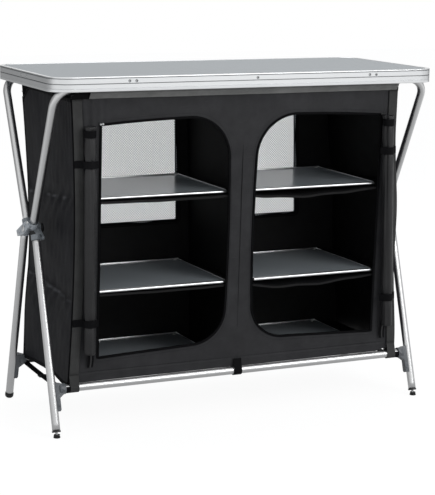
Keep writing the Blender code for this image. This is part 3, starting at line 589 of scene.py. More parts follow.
def swept(path, section, side, closed=False):
    """Points of a section carried along a path: each section point (a, b) goes a along side and
    b along the cross product of the path's direction and side."""
    path = np.asarray(path, float)
    if closed:
        way = unit(np.roll(path, -1, axis=0) - np.roll(path, 1, axis=0))
    else:
        way = unit(np.gradient(path, axis=0))
    side = np.broadcast_to(side, path.shape)
    up = np.cross(way, side)
    section = np.asarray(section, float)
    return (path[:, None] + section[None, :, :1] * side[:, None]
            + section[None, :, 1:] * up[:, None])


def band(name, path, section, side, finish=None, body="cabinet", closed=False, replaces=()):
    """A section carried along a path, with capped ends unless the path is closed."""
    return surface(name, swept(path, section, side, closed), finish or BLACK_WEB, body, replaces,
                   closed=(closed, True), caps=not closed)


def stadium(width, thick, steps=5):
    """A strap's section: a rectangle with half-round edges."""
    turn = np.linspace(-90, 90, steps) * math.pi / 180
    right = np.stack((width / 2 - thick / 2 + np.cos(turn) * thick / 2,
                      np.sin(turn) * thick / 2), -1)
    middle = np.linspace(0.8, -0.8, 5)[:, None] * (width / 2 - thick / 2)
    top = np.hstack((middle, np.full_like(middle, thick / 2)))
    return np.vstack((right, top, -right, -top))


def strap_at(name, x, run, width, thick, finish=None, body="cabinet", replaces=()):
    """Flat webbing at one x, along points of y and z."""
    path = np.column_stack((np.full(len(run), x), run))
    return band(name, path, stadium(width, thick), X_AXIS, finish, body, replaces=replaces)


def arc(centre, radius, start, end, steps):
    """Points (a, b) of an arc, angles in degrees."""
    turn = np.radians(np.linspace(start, end, steps + 1))
    return np.stack((centre[0] + radius * np.cos(turn), centre[1] + radius * np.sin(turn)), -1)


def ring(radius, sides):
    turn = np.arange(sides) * 2 * math.pi / sides
    return np.stack((radius * np.cos(turn), radius * np.sin(turn)), -1)


def tube(name, route, side, body, replaces):
    """An open-ended tube along a route in a plane square to side: out along the outside, over
    the rim and back along the inside."""
    outside, inside = (swept(route, ring(r, 32), side) for r in (TUBE_R, TUBE_R - TUBE_WALL))
    return surface(name, np.concatenate((outside, inside[::-1])), TUBING, body, replaces,
                   closed=(True, True))


def turned(name, profile, places, ways, finish, body="cabinet", sides=20, replaces=()):
    """A turned shape at each place: profile (radius, height) swept round the direction way."""
    profile, circle = np.asarray(profile, float), ring(1.0, sides)
    made = []
    for place, way in zip(places, ways):
        way = unit(way)
        across = unit(np.cross(way, X_AXIS if abs(way[0]) < 0.9 else Y_AXIS))
        round_it = circle[:, :1] * across + circle[:, 1:] * np.cross(way, across)
        made.append(np.asarray(place) + profile[:, None, :1] * round_it[None]
                    + profile[:, None, 1:] * way)
    return sharpen(surface(name, made, finish, body, replaces, closed=(False, True), weld=True))


def smooth_step(value, low, high):
    """0 below low, 1 above high and an S-curve between them."""
    share = np.clip((value - low) / (high - low), 0.0, 1.0)
    return share * share * (3.0 - 2.0 * share)


def bell(value, middle, width):
    """A bell curve of height 1."""
    return np.exp(-((value - middle) / width) ** 2)


def ripple(a, b, size, seed):
    """Soft uneven cloth, from -1 to 1: six sine waves of about one size, whose directions and
    phases follow from the seed."""
    draw = np.random.default_rng(seed)
    total = 0.0
    for angle, phase, scale in zip(draw.uniform(0, math.pi, 6), draw.uniform(0, 2 * math.pi, 6),
                                   draw.uniform(0.6, 1.7, 6)):
        run = a * math.cos(angle) + b * math.sin(angle)
        total = total + np.sin(run * 2 * math.pi / (size * scale) + phase)
    return total / 6.0


def stitches(name, path, outward, finish=None, pitch=0.0042, length=0.0028, thread=0.00045):
    """A row of thread: one small six-sided stitch for every pitch of a path's length, lying
    on the cloth, whose face looks towards outward."""
    run = np.concatenate(([0.0], np.cumsum(np.linalg.norm(np.diff(path, axis=0), axis=1))))
    at = np.arange(pitch, run[-1] - pitch, pitch)
    middle, ahead = (np.stack([np.interp(spot, run, path[:, k]) for k in range(3)], -1)
                     for spot in (at, at + length / 2))
    way = unit(ahead - middle)[:, None, None]
    outward = unit(outward)
    side = unit(np.cross(way, outward))
    circle = ring(1.0, 6)[None, None]
    along = (np.array((-0.5, -0.3, 0.3, 0.5)) * length)[None, :, None, None]
    fat = (np.array((0.35, 1.0, 1.0, 0.35)) * thread / 2)[None, :, None, None]
    points = (middle[:, None, None] + along * way
              + fat * (circle[..., :1] * side + circle[..., 1:] * outward))
    return surface(name, points, finish or BLACK_WEB, closed=(False, True), caps=True)


# ---------------------------------------------------------------- worktop

def rounded_rectangle(half_x, half_y, radius, z, corner_steps=16, side_steps=12):
    """A closed outline at height z: four arcs joined by straight runs, anticlockwise."""
    points = [arc((sx * (half_x - radius), sy * (half_y - radius)), radius, start, start + 90,
                  corner_steps)
              for sx, sy, start in ((1, 1, 0), (-1, 1, 90), (-1, -1, 180), (1, -1, 270))]
    out = []
    for here, after in zip(points, points[1:] + points[:1]):
        share = np.linspace(0, 1, side_steps + 1)[1:-1, None]
        out += [here, here[-1] + (after[0] - here[-1]) * share]
    flat = np.vstack(out)
    return np.column_stack((flat, np.full(len(flat), z)))


def make_worktop():
    """The board in its laminate, and round it the edge profile: its section is drawn as depths
    below the top and insets from the outer face, with a rounded lip above and below, a fine
    groove, the main groove, a step, and a lip inwards over the board's edge."""
    board = frame["nodes"]["worktop_board"]
    board.data.materials.clear()
    board.data.materials.append(LAMINATE.material)

    height = EDGE_HIGH[2] - EDGE_LOW[2]
    width = EDGE_HIGH[0] - BOARD_HIGH[0] - 0.0001
    groove_at, step_at = 0.47 * height, 0.79 * height
    lip = 0.0009 * (1 - np.array([(math.cos(t), math.sin(t))
                                  for t in np.radians((0, 30, 60, 90))]))
    section = -np.vstack((
        lip, mm(2.2, 0, 2.5, 1, 3.7, 1, 4.1, 0),
        (groove_at, 0) + mm(-1, 0, -0.7, 1.7, 0.7, 1.7, 1, 0),
        (step_at, 0) + mm(-0.8, 0, -0.3, 0.8, 0.3, 0.8, 0.8, 0),
        (height, 0) + lip[::-1] * (-1, 1),
        [(height, width), (height - 0.0015, width), (height - 0.0015, 0.0025),
         (0.0120, 0.0025), (0.0120, width), (0.0006, width), (0.0, width - 0.0006)]))
    path = rounded_rectangle(EDGE_HIGH[0], EDGE_HIGH[1], WORKTOP_CORNER_R, EDGE_HIGH[2])
    # the path runs anticlockwise, so its direction crossed with +Z points outwards
    sharpen(band("grooved_edge_profile", path, section, Z_AXIS, EDGING, "worktop", True,
                 "worktop_edge_profile"))
    # Dark grey strips in the bottoms of the two grooves: painted shade, a dark sheet where the
    # grooves lie only in shadow
    for label, at, deep in (("upper", 0.0031, 0.0010), ("main", groove_at, 0.0017)):
        shade_strip = -np.array([(at - 0.0004, 0.0002), (at - 0.0004, deep),
                          (at + 0.0004, deep), (at + 0.0004, 0.0002)])
        band(f"edge_groove_shade_strip_{label}", path, shade_strip, Z_AXIS, GREY_PLASTIC, "worktop", True)

    rivet_z = EDGE_HIGH[2] - 0.30 * height
    places = [(-s * x, s * EDGE_HIGH[1], rivet_z) for x in RIVETS_X for s in (-1, 1)]
    places += [(s * EDGE_HIGH[0], -s * y, rivet_z) for y in RIVETS_Y for s in (-1, 1)]
    ways = [(0, -1, 0), (0, 1, 0)] * 5 + [(-1, 0, 0), (1, 0, 0)] * 2
    shank = mm(0, 0.6, 0.7, 0.6, 0.9, 1.1, 1.6, 1.2, 2.3, 0.7, 2.6, 0, 2.6, -1.2, 0, -1.2)
    turned("edge_rivets", shank, places, ways, STEEL, "worktop")
    # A dark grey disc round each rivet: painted shade, the shadow at the rivet's rim
    shade_ring = mm(0, 0.3, 3.2, 0.3, 3.6, -0.2, 3.6, -0.6, 0, -0.6)
    turned("edge_rivet_shade_rings", shade_ring, places, ways, GREY_PLASTIC, "worktop")
    # A black disc in each rivet's middle: painted shade, the dark of the rivet's hole
    hole_shade = mm(0, 1.3, 1.3, 1.3, 1.4, 1, 1.3, 0.4, 1.3, -0.5, 0, -0.5)
    turned("edge_rivet_hole_shade", hole_shade, places, ways, BLACK_PLASTIC, "worktop", sides=12)

    for end, _, side, _ in CORNERS:
        softened(f"clip_{end}_{side}", f"worktop_clip_{end}_{side}", BLACK_PLASTIC, "worktop",
                 0.0006)


# ---------------------------------------------------------------- frame

UP_WAY = unit(np.array((TOP_BAR_Y, TOP_BAR_Z)) - UPPER_END)     # along the upper tubes: y, z
DOWN_WAY = LEG_WAY[1:] * (1, -1)                                # along the lower tubes
LEG_REACH = LEG_WAY[1] / LEG_WAY[2]


def leg_y(z):
    """Distance of a lower tube's centre line from the middle plane at height z."""
    return LOWER_END[0] + (LOWER_END[1] - z) * LEG_REACH


def make_tubes():
    """Two bows, each up from a hub, round a bend, along the top and down again; four lower
    legs and two bottom bars."""
    bend = np.array((TOP_BAR_Y, TOP_BAR_Z)) - UP_WAY * BEND_R
    turn = np.radians(np.linspace(0, 90, 25))
    rise = np.linspace(0, 1, 24)[:-1, None]
    half = np.linspace(0, 1, 20)[1:-1, None]
    for end, sy in ENDS.items():
        low = UPPER_END + UP_WAY * 0.0003 + (bend - UPPER_END) * rise
        inset = np.concatenate((np.zeros(len(low)), BEND_R * (1 - np.cos(turn))))
        flat = np.vstack((low, bend + UP_WAY * BEND_R * np.sin(turn)[:, None]))
        right = np.column_stack((LEG_X - inset, sy * flat[:, 0], flat[:, 1]))
        left = right[::-1] * (-1, 1, 1)
        route = np.vstack((right, right[-1] + (left[0] - right[-1]) * half, left))
        tube(f"bow_tube_{end}", route, np.array((0.0, sy * UP_WAY[1], -UP_WAY[0])),
             f"bow_{end}", f"top_bow_{end}")

        foot = FRONT_TUBE_FOOT if end == "front" else REAR_TUBE_FOOT
        for name, sx in SIDES.items():
            start = np.array((sx * LEG_X, sy * LOWER_END[0], LOWER_END[1] - 0.0003))
            stop = np.array((sx * LEG_X, sy * leg_y(foot), foot))
            run = start + (stop - start) * np.linspace(0, 1, 30)[:, None]
            tube(f"leg_tube_{end}_{name}", run, X_AXIS, BAR_BODY[end], f"lower_leg_{end}_{name}")
        run = np.linspace(-1, 1, 50)[:, None] * (BAR_HALF, 0, 0) + (0, sy * LOW_BAR_Y, LOW_BAR_Z)
        tube(f"bar_tube_{end}", run, Y_AXIS, BAR_BODY[end], f"bottom_bar_{end}")


def shorten_sockets(half, upper):
    """Draws in the sockets' open ends: what lies beyond a tube's end keeps under half of its
    length along the tube."""
    points = np.empty(len(half.data.vertices) * 3)
    half.data.vertices.foreach_get("co", points)
    points = points.reshape(-1, 3)
    for end, way, side in ((UPPER_END, UP_WAY, upper), (LOWER_END, DOWN_WAY, -upper)):
        run = way * (side, 1)
        past = points[:, 1:] - end * (side, 1)
        along = past @ run
        across = np.abs(past @ np.array((-run[1], run[0])))
        draw = np.where((along > 0) & (across < 0.020), along * SOCKET_DRAW, 0.0)
        points[:, 1:] -= draw[:, None] * run
    half.data.vertices.foreach_set("co", points.ravel())


def make_hubs():
    """Softened halves with the rivets that hold the tubes and two pairs of bright eyelets whose
    holes are black discs, painted shade; bolts with ribbed knobs."""
    head = mm(0, 1, 1.2, 1, 1.6, 1.4, 3, 1, 3.6, 0.2, 3.6, -2, 0, -2)
    eyelet = mm(1.4, -0.8, 1.4, 0.3, 1.8, 0.6, 2.3, 0.3, 2.3, -0.8, 1.4, -0.8)
    # The eyelets' holes as black discs: painted shade
    bottom = mm(0, 0.2, 1.4, 0.2, 1.4, -0.8, 0, -0.8)
    for name, sx in SIDES.items():
        shorten_sockets(softened(f"hub_outer_{name}", f"hub_cradle_outer_{name}", HUB_PLASTIC,
                                 "bow_front", 0.0007), -1)
        shorten_sockets(softened(f"hub_inner_{name}", f"hub_cradle_inner_{name}", DARK_CRADLE,
                                 "bow_rear", 0.0007), 1)
        low, high = box(f"hub_outer_{name}")
        face = (high if sx > 0 else low)[0]
        upper, lower = UPPER_END + UP_WAY * RIVET_AT, LOWER_END + DOWN_WAY * RIVET_AT
        places = [(face, -upper[0], upper[1]), (face, lower[0], lower[1])]
        middle = np.array((face, 0.0, HUB_Z))
        spots = [middle + (np.array(place) - middle) * share
                 for place in places for share in EYELETS_AT]
        look_out = [(sx, 0, 0)] * 4
        turned(f"hub_rivets_outer_{name}", head, places, look_out[:2], STEEL, "bow_front")
        turned(f"hub_eyelets_{name}", eyelet, spots, look_out, HUB_PLASTIC, "bow_front")
        # Black discs in the eyelets: painted shade, the dark of their holes
        turned(f"hub_hole_shade_{name}", bottom, spots, look_out, BLACK_PLASTIC, "bow_front", 12)

        low, high = box(f"pivot_bolt_{name}")
        knob = np.array(((low if sx > 0 else high)[0], 0.0, HUB_Z))
        length = high[0] - low[0]
        shaft = np.vstack(((0, length) + mm(0, 0, 4.5, 0, 6.8, -0.7, 8.3, -2, 8.5, -3.4, 4, -3.5),
                           mm(4, 7.3, 9, 7.2, 9, 3.4, 0, 3.4)))
        turned(f"pivot_bolt_steel_{name}", shaft, [knob], look_out, STEEL, "hubs", 40,
               f"pivot_bolt_{name}")
        widths, heights = mm(9.2, 7, 10.9, 6.8, 11.5, 6, 11.5, 2.2, 10.9, 0.8, 9.5, 0, 8.8, 0.4,
                             7.9, 1.1, 0, 1.1).T
        rib = np.array((0, 1, 1, 1, 0.6, 0, 0, 0, 0))[:, None]
        turn = np.arange(72) * 2 * math.pi / 72
        radius = widths[:, None] * (1.0 - 0.035 * (0.5 + 0.5 * np.cos(18 * turn)) * rib)
        grid = np.stack((knob[0] + sx * heights[:, None] * np.ones_like(radius),
                         radius * np.cos(turn), HUB_Z + radius * np.sin(turn)), -1)
        sharpen(surface(f"pivot_knob_{name}", grid, BLACK_PLASTIC, "hubs", closed=(False, True),
                        weld=True), 35.0)


def make_brackets_and_feet():
    """Softened brackets with two screws each, rubber caps on the rear legs, and plugs on the
    front ones with levelling feet: a pad, a stud with thread rings and a six-sided nut."""
    screw = mm(0, 0.9, 1, 0.9, 1.4, 1.3, 2.6, 0.9, 3.1, 0.2, 3.1, -1.5, 0, -1.5)
    for end, sy, name, sx in CORNERS:
        up = np.array((0.0, -sy * LEG_WAY[1], LEG_WAY[2]))
        out = np.array((0.0, sy * LEG_WAY[2], LEG_WAY[1]))
        softened(f"bar_bracket_{end}_{name}", f"corner_bracket_{end}_{name}", GREY_PLASTIC,
                 BAR_BODY[end], 0.0008)
        corner = np.array((sx * LEG_X, sy * LOW_BAR_Y, LOW_BAR_Z))
        inwards = np.array((-sx, 0.0, 0.0))
        places = [corner + inwards * 0.0115 - up * 0.040 + out * 0.0080,
                  corner + inwards * 0.0250 + np.array((0, sy, 0)) * 0.0130]
        turned(f"bracket_screws_{end}_{name}", screw, places, [out, (0, sy, 0)], GREY_PLASTIC,
               BAR_BODY[end])

    cap = mm(0, -0.4, 9.9, -0.4, 9.9, 5.5, 10.3, 5.4, 10.6, 4.8, 10.7, 4.2, 10.7, 0, 10.5, -2.2,
             9.9, -4.1, 8.8, -5.6, 7.3, -6.6, 4.3, -7.3, 0, -7.5)
    plug = mm(3.6, 11.8, 7.6, 12, 7.6, -0.3, 10.4, -0.3, 10.5, -0.8, 10.5, -3.6, 9.9, -4.2, 3.6,
              -4.2, 3.6, 11.8)
    pad = mm(0, 4.6, 4.4, 4.6, 4.5, 4, 4.6, 3.4, 7.4, 3.1, 8.1, 2.5, 8.2, 1.8, 8.2, 0.6, 7.8, 0,
             0, 0)
    level = np.linspace(0.0002, 0.0240, 90)
    thread = 0.0030 - 0.00045 * (np.arange(90) % 3 == 1)
    stud = [(0.0, level[-1] + 0.0003)] + list(zip(thread, level))[::-1] + [(0.0, level[0])]
    nut = np.stack([np.column_stack((ring(0.0080, 6) * share, np.full(6, z)))
                    for share, z in ((0, 0), (0.93, 0), (1, 0.0006), (1, 0.0028),
                                     (0.93, 0.0034), (0, 0.0034))])
    rear_up, front_up = ((0.0, s * math.sin(LEG_LEAN), math.cos(LEG_LEAN)) for s in (-1, 1))
    for name, sx in SIDES.items():
        x, foot = sx * LEG_X, f"levelling_foot_{name}"
        ground = np.array((x, -leg_y(0.0032), 0.0))
        turned(f"rear_foot_cap_{name}", cap, [(x, leg_y(REAR_TUBE_FOOT), REAR_TUBE_FOOT)],
               [rear_up], RUBBER, "bow_front", 48, f"foot_cap_rear_{name}")
        turned(f"front_foot_plug_{name}", plug, [(x, -leg_y(FRONT_TUBE_FOOT), FRONT_TUBE_FOOT)],
               [front_up], BLACK_PLASTIC, "bow_rear", 48, f"foot_plug_front_{name}")
        turned(f"levelling_pad_{name}", pad, [ground], [Z_AXIS], RUBBER, foot, 48,
               f"levelling_foot_front_{name}")
        turned(f"levelling_stud_{name}", stud, [ground + (0, 0, 0.0034)], [front_up], STEEL,
               foot, 24)
        surface(f"levelling_nut_{name}", nut + ground + (0, 0, 0.0044), BLACK_PLASTIC, foot,
                closed=(False, True), weld=True, flat=True)


# ---------------------------------------------------------------- cabinet walls

def door_outline(sx, steps=60):
    """A door opening in x and z: up the outer edge, along the drooping head, round the corner,
    down beside the column, round the lower corner and back along the sill."""
    inner, outer = DOOR_IN, DOOR_OUT
    share = np.linspace(0, 1, steps)

    x = outer + (inner + DOOR_HEAD_R - outer) * share
    top = np.column_stack((x, DOOR_HEAD - DOOR_HEAD_DROP * ((x - inner) / (outer - inner)) ** 2.5))
    high = arc((inner + DOOR_HEAD_R, top[-1, 1] - DOOR_HEAD_R), DOOR_HEAD_R, 90, 180, steps)
    x = inner + DOOR_SILL_R + (outer - inner - DOOR_SILL_R) * share
    bottom = np.column_stack((x, DOOR_SILL - DOOR_SILL_DROP * (x - inner) / (outer - inner)))
    low = arc((inner + DOOR_SILL_R, bottom[0, 1] + DOOR_SILL_R), DOOR_SILL_R, 180, 270, steps)
    column = high[-1] + (low[0] - high[-1]) * share[1:-1, None]
    column[:, 0] -= 0.0035 * np.sin(math.pi * share[1:-1])
    outside = bottom[-1] + (top[0] - bottom[-1]) * share[:, None]
    made = np.vstack((top[1:], high[1:], column, low, bottom[1:], outside[1:]))
    return np.column_stack((sx * made[:, 0] + COLUMN_SHIFT * (outer - made[:, 0])
                            / (outer - inner), made[:, 1]))


def window_outline(sx):
    """A mesh window in the back: a rectangle with small round corners."""
    middle, half = (NET_LOW + NET_HIGH) / 2, (NET_HIGH - NET_LOW) / 2
    flat = rounded_rectangle(half[0], half[2], 0.008, 0.0)
    return np.column_stack((sx * (flat[:, 0] + middle[0]), flat[:, 1] + middle[2]))


def polar_ring(outline, centre, low, high, steps, seam):
    """A grid between a star-shaped outline and the rectangle from low to high round it, with
    the same angle about the centre in each row. Steps grow towards the rectangle. Rows that end
    on the upright edge at x = seam end at even heights, so that two grids meet there."""
    corners = np.array([(x, z) for x in (low[0], high[0]) for z in (low[1], high[1])])
    away = np.vstack((outline, corners)) - centre
    angles = np.unique(np.round(np.concatenate((np.arctan2(away[:, 1], away[:, 0]),
                                                np.linspace(-math.pi, math.pi, 181)[:-1])), 5))
    angles = angles[np.concatenate(([True], np.diff(angles) > 0.004))]
    levels = np.linspace(low[1], high[1], 70)
    tilt = np.tan(angles) * (seam - centre[0]) + centre[1]
    to_seam = (np.cos(angles) * (seam - centre[0]) > 0) & (tilt > low[1] - 0.004) & (
        tilt < high[1] + 0.004)
    angles = np.sort(np.concatenate((angles[~to_seam],
                                     np.arctan2(levels - centre[1], seam - centre[0]))))
    turn = np.arctan2(*(outline - centre).T[::-1])
    order = np.argsort(turn)
    inner_r = np.interp(angles, turn[order], np.linalg.norm(outline - centre, axis=1)[order],
                        period=2 * math.pi)
    way = np.stack((np.cos(angles), np.sin(angles)), -1)
    edge = np.where(way > 0, np.array(high) - centre, centre - np.array(low)) / np.maximum(
        np.abs(way), 1e-9)
    share = np.linspace(0, 1, steps)[None] ** 1.15
    radius = inner_r[:, None] + (edge.min(axis=1) - inner_r)[:, None] * share
    return centre + radius[..., None] * way[:, None]


def side_reach(sx, z):
    """How far the cabinet's corner stands out from the middle at height z: the right corner is
    drawn in towards the top, the left one is waisted."""
    up = (z - HEM_Z) / WALL_HEIGHT
    if sx < 0:
        return (BODY_HALF + 0.0035 + 0.007 * (2 * up - 1) ** 2
                - 0.005 * np.sin(math.pi * np.clip(up, 0, 1)))
    return BODY_HALF + 0.0085 - 0.015 * smooth_step(up, 0.0, 0.35) - 0.0165 * smooth_step(
        up, 0.50, 0.85)


def rear_flare(sx, z):
    """The left rear corner hangs outwards in its lower third."""
    return (sx < 0) * 0.0105 * smooth_step(-z, -0.42, -0.22)


def corner_x(x, z, sy):
    """Moves a panel's outer edges to where the cabinet's corners stand, and hardly moves its
    middle."""
    near = smooth_step(np.abs(x), DOOR_OUT - 0.010, BODY_HALF)
    reach = np.where(x < 0, side_reach(-1, z) + (sy > 0) * rear_flare(-1, z), side_reach(1, z))
    return x + np.sign(x) * (reach - BODY_HALF) * near


def gathers(x):
    """Fine upright gathers, a little uneven in width."""
    return np.sin(x * 2 * math.pi / 0.031 + 1.7 * np.sin(x * 17))


def front_depth(x, z):
    """How far the front panel lies back from the leaning plane: gathers under the sleeve,
    puckers beside the left corner, a soft column, a groove at the hem's seam."""
    gather = 0.0007 * gathers(x) * np.exp(-np.maximum(PANEL_TOP - z, 0) / 0.035)
    left = 0.0016 * np.sin((x + 0.4335) * 2 * math.pi / 0.0165) * smooth_step(-x, 0.335, 0.40)
    left = left * smooth_step(z, 0.66, 0.76) * smooth_step(-z, -0.802, -0.785)
    right = 0.0009 * np.sin(x * 2 * math.pi / 0.021) * smooth_step(x, 0.34, 0.40)
    right = right * smooth_step(z, 0.60, 0.75)
    slow = 0.0011 * ripple(x, z, 0.16, 5) + 0.0005 * ripple(x, z, 0.05, 9)
    pull = 0.0022 * bell(x, COLUMN_SHIFT, 0.055) * np.sin(
        math.pi * np.clip((z - HEM_Z) / WALL_HEIGHT, 0, 1))
    seam = 0.0007 * bell(z, HEM_GROOVE, 0.0011) + 0.0004 * bell(z, PANEL_TOP - 0.010, 0.001)
    hem = -0.0006 * smooth_step(-z, -(HEM_Z + 0.020), -(HEM_Z + 0.018))
    return 0.0021 + gather + left + right + slow + pull + seam + hem


def back_depth(x, z):
    """The same of the back panel: slow waves and grooves at the seams of slings and hem."""
    slow = 0.0013 * ripple(x, z, 0.18, 21) + 0.0004 * ripple(x, z, 0.05, 23)
    seams = sum(0.0008 * bell(z, SHELF_TOP[level] - BOARD_THICK, 0.0012)
                for level in ("upper", "middle"))
    return 0.0020 + slow + seams + 0.0007 * bell(z, HEM_GROOVE, 0.0011)


DEPTH = {-1: front_depth, 1: back_depth}
WALL_FACE = {sy: np.array((0.0, sy * math.cos(WALL_LEAN), -math.sin(WALL_LEAN)))
             for sy in ENDS.values()}


def wall_points(flat, sy, depth):
    """Stands a flat grid of x and z up on the leaning front or back plane."""
    x, z = flat[..., 0], flat[..., 1]
    return np.stack((corner_x(x, z, sy), sy * (wall_y(z) - depth(x, z)), z), -1)


def on_wall(xz, sy, proud):
    """Points of a line on the front or back panel, standing proud of its cloth."""
    return wall_points(np.asarray(xz, float), sy, DEPTH[sy]) + (0, sy * proud, 0)


def hem_wave(flat, sy):
    """The lower edge hangs on to the bar, a little less between its loops and at one corner."""
    x, z = flat[..., 0], flat[..., 1]
    low = 1.0 - smooth_step(z, HEM_Z, HEM_Z + 0.05)
    droop = 0.0022 - 0.0003 * np.sin(x * math.pi / BODY_HALF) ** 2
    right = 0.0060 * smooth_step(x, 0.385, 0.405) * (sy < 0)
    return np.stack((x, z - (droop - right) * low), -1)


def make_panel(end, outlines, centres):
    """Front or back: two ring grids, one round each opening, welded along the middle, with the
    seams that run across it."""
    sy, name = ENDS[end], "front" if end == "front" else "back"
    middle = COLUMN_SHIFT if sy < 0 else 0.0
    halves = []
    for sx, low_x, high_x in ((-1, -BODY_HALF, middle), (1, middle, BODY_HALF)):
        flat = hem_wave(polar_ring(outlines[sx], centres[sx], (low_x, HEM_Z),
                                   (high_x, PANEL_TOP), 36, middle), sy)
        halves.append(mesh_of(f"{name}_half", wall_points(flat, sy, DEPTH[sy]),
                              closed=(True, False), outward=(0, sy, 0),
                              uv=np.concatenate((flat, flat[:1]), axis=0)))
    data = rebuilt(bpy.data.meshes.new(f"{name}_wall_cloth"), halves, 0.0004)
    panel = piece(f"{name}_wall_cloth", data, FABRIC, "cabinet", f"{name}_panel", LINING, CLOTH)

    rows = {"hem": HEM_SEAM}
    if end == "front":
        rows["head"] = HEAD_SEAM
    else:
        rows.update((level, SHELF_TOP[level] - 0.005) for level in ("middle", "upper"))
    x = np.linspace(-BODY_HALF + 0.026, BODY_HALF - 0.026, 120)
    for label, z in rows.items():
        stitches(f"{name}_{label}_seam",
                 on_wall(np.column_stack((x, np.full_like(x, z))), sy, 0.0003), WALL_FACE[sy])
    return panel


def make_front():
    """The front with its doors' zips, shown as a binding, and their seams."""
    outlines = {sx: door_outline(sx) for sx in (-1, 1)}
    centres = {sx: np.array(DOOR_CENTRE) * (sx, 1) for sx in (-1, 1)}
    make_panel("front", outlines, centres)
    for name, sx in SIDES.items():
        band(f"door_binding_{name}", on_wall(outlines[sx], -1, 0.0), stadium(0.0022, 0.0058),
             WALL_FACE[-1], closed=True)
        inside = outlines[sx] + (centres[sx] - outlines[sx]) * -0.035
        stitches(f"door_seam_{name}", on_wall(inside, -1, 0.0003), WALL_FACE[-1])


def make_back():
    """The back with its two mesh windows and their bindings."""
    outlines = {sx: window_outline(sx) for sx in (-1, 1)}
    centres = {sx: outlines[sx].mean(axis=0) for sx in (-1, 1)}
    panel = make_panel("rear", outlines, centres)
    across, up = grid_of(np.linspace(NET_LOW[0], NET_HIGH[0], 40),
                         np.linspace(NET_LOW[2], NET_HIGH[2], 44))
    for name, sx in SIDES.items():
        band(f"window_binding_{name}", on_wall(outlines[sx], 1, -0.0004),
             stadium(0.0024, 0.0110), WALL_FACE[1], closed=True)
        x = sx * across
        points = wall_points(np.stack((x, up), -1), 1, lambda x, z: 0.0024)
        points[..., 1] -= 0.0012 * ripple(x, up, 0.14, 31 + sx)
        net = surface(f"window_net_{name}", points, NET, replaces=f"mesh_window_{name}",
                      outward=(0, 1, 0), uv=np.stack((x + up, x - up), -1) * math.sqrt(0.5))


def side_bulge(sx, y, z):
    """A side wall's distance from the middle: bowed out between the seams of the slings, with
    short slanting puckers where they pull."""
    seams = (HEM_Z, CREASE_LINES[0][0], CREASE_LINES[1][0], WALL_TOP)
    bow = sum(np.where((z > low) & (z < high),
                       np.sin(math.pi * np.clip((z - low) / (high - low), 0, 1)), 0.0)
              for low, high in zip(seams, seams[1:]))
    reach = np.clip(y / wall_y(z), -1, 1)
    near = 1.0 - reach ** 6
    pucker = 0.0
    for level, tilt in CREASE_LINES:
        below = level + tilt * y - z
        step = 0.0042 * smooth_step(below, -0.0010, 0.0050) * np.exp(-np.maximum(below, 0) / 0.045)
        slant = np.sin((y + (z - level) * 0.9) * 2 * math.pi / 0.047 + level * 40)
        pucker = (pucker + step * (0.75 + 0.25 * slant) - 0.0018 * bell(below, -0.012, 0.014)
                  + 0.0011 * slant * bell(below, 0.0, 0.030))
    slow = 0.0015 * ripple(y, z, 0.13, 41 + sx) + 0.0006 * ripple(y, z, 0.04, 47 + sx)
    front = 0.0010 * np.sin(y * 2 * math.pi / 0.020) * smooth_step(-y, 0.10, 0.16) * smooth_step(
        z, 0.62, 0.78)
    flare = rear_flare(sx, z) * smooth_step(reach, -0.2, 1.0)
    return side_reach(sx, z) + near * (0.0045 * bow - 0.002 + pucker + slow + front) + flare


def make_sides():
    """The side walls, bound above and below, with piping down both edges and two seams."""
    share, level = grid_of(np.linspace(-1, 1, 110), np.linspace(0, 1, 190))
    foot = HEM_Z - 0.003 - 0.0075 * smooth_step(-share, 0.2, 0.75) + 0.0055 * smooth_step(
        -share, 0.80, 1.0) - 0.0040 * smooth_step(share, 0.35, 1.0)
    head = SIDE_HEAD - 0.0045 * smooth_step(-share, -0.1, 0.6) - 0.030 * smooth_step(
        share, 0.62, 1.0) ** 1.5
    z = foot + (head - foot) * level
    y = share * (wall_y(z) - 0.0020)
    for name, sx in SIDES.items():
        points = np.stack((sx * side_bulge(sx, y, z), y, z), -1)
        # The side cloth is darkened as painted shade and has painted highlights along its creases
        panel = surface(f"side_wall_cloth_{name}", points, SIDE_FABRIC_PAINTED_LIGHT, "cabinet",
                        f"side_panel_{name}", LINING, CLOTH, outward=(sx, 0, 0),
                        uv=np.stack((y, z), -1))
        band(f"side_head_binding_{name}", points[:, -1] + (0, 0, -0.0030),
             stadium(0.0090, 0.0026), Z_AXIS)
        band(f"side_hem_binding_{name}", points[:, 0] + (0, 0, 0.0028),
             stadium(0.0085, 0.0026), Z_AXIS)
        for label, column in (("front", 0), ("rear", -1)):
            band(f"corner_piping_{label}_{name}", points[column], ring(0.0017, 12), X_AXIS)
        for label, tilt in SEAM_TILT.items():
            height = SHELF_TOP[label] - 0.010
            seam_y = np.linspace(-0.95, 0.95, 80) * wall_y(height)
            seam_z = height + tilt * seam_y
            line = np.stack((sx * (side_bulge(sx, seam_y, seam_z) + 0.0003), seam_y, seam_z), -1)
            stitches(f"side_{label}_seam_{name}", line, (sx, 0, 0), GREY_WEB)


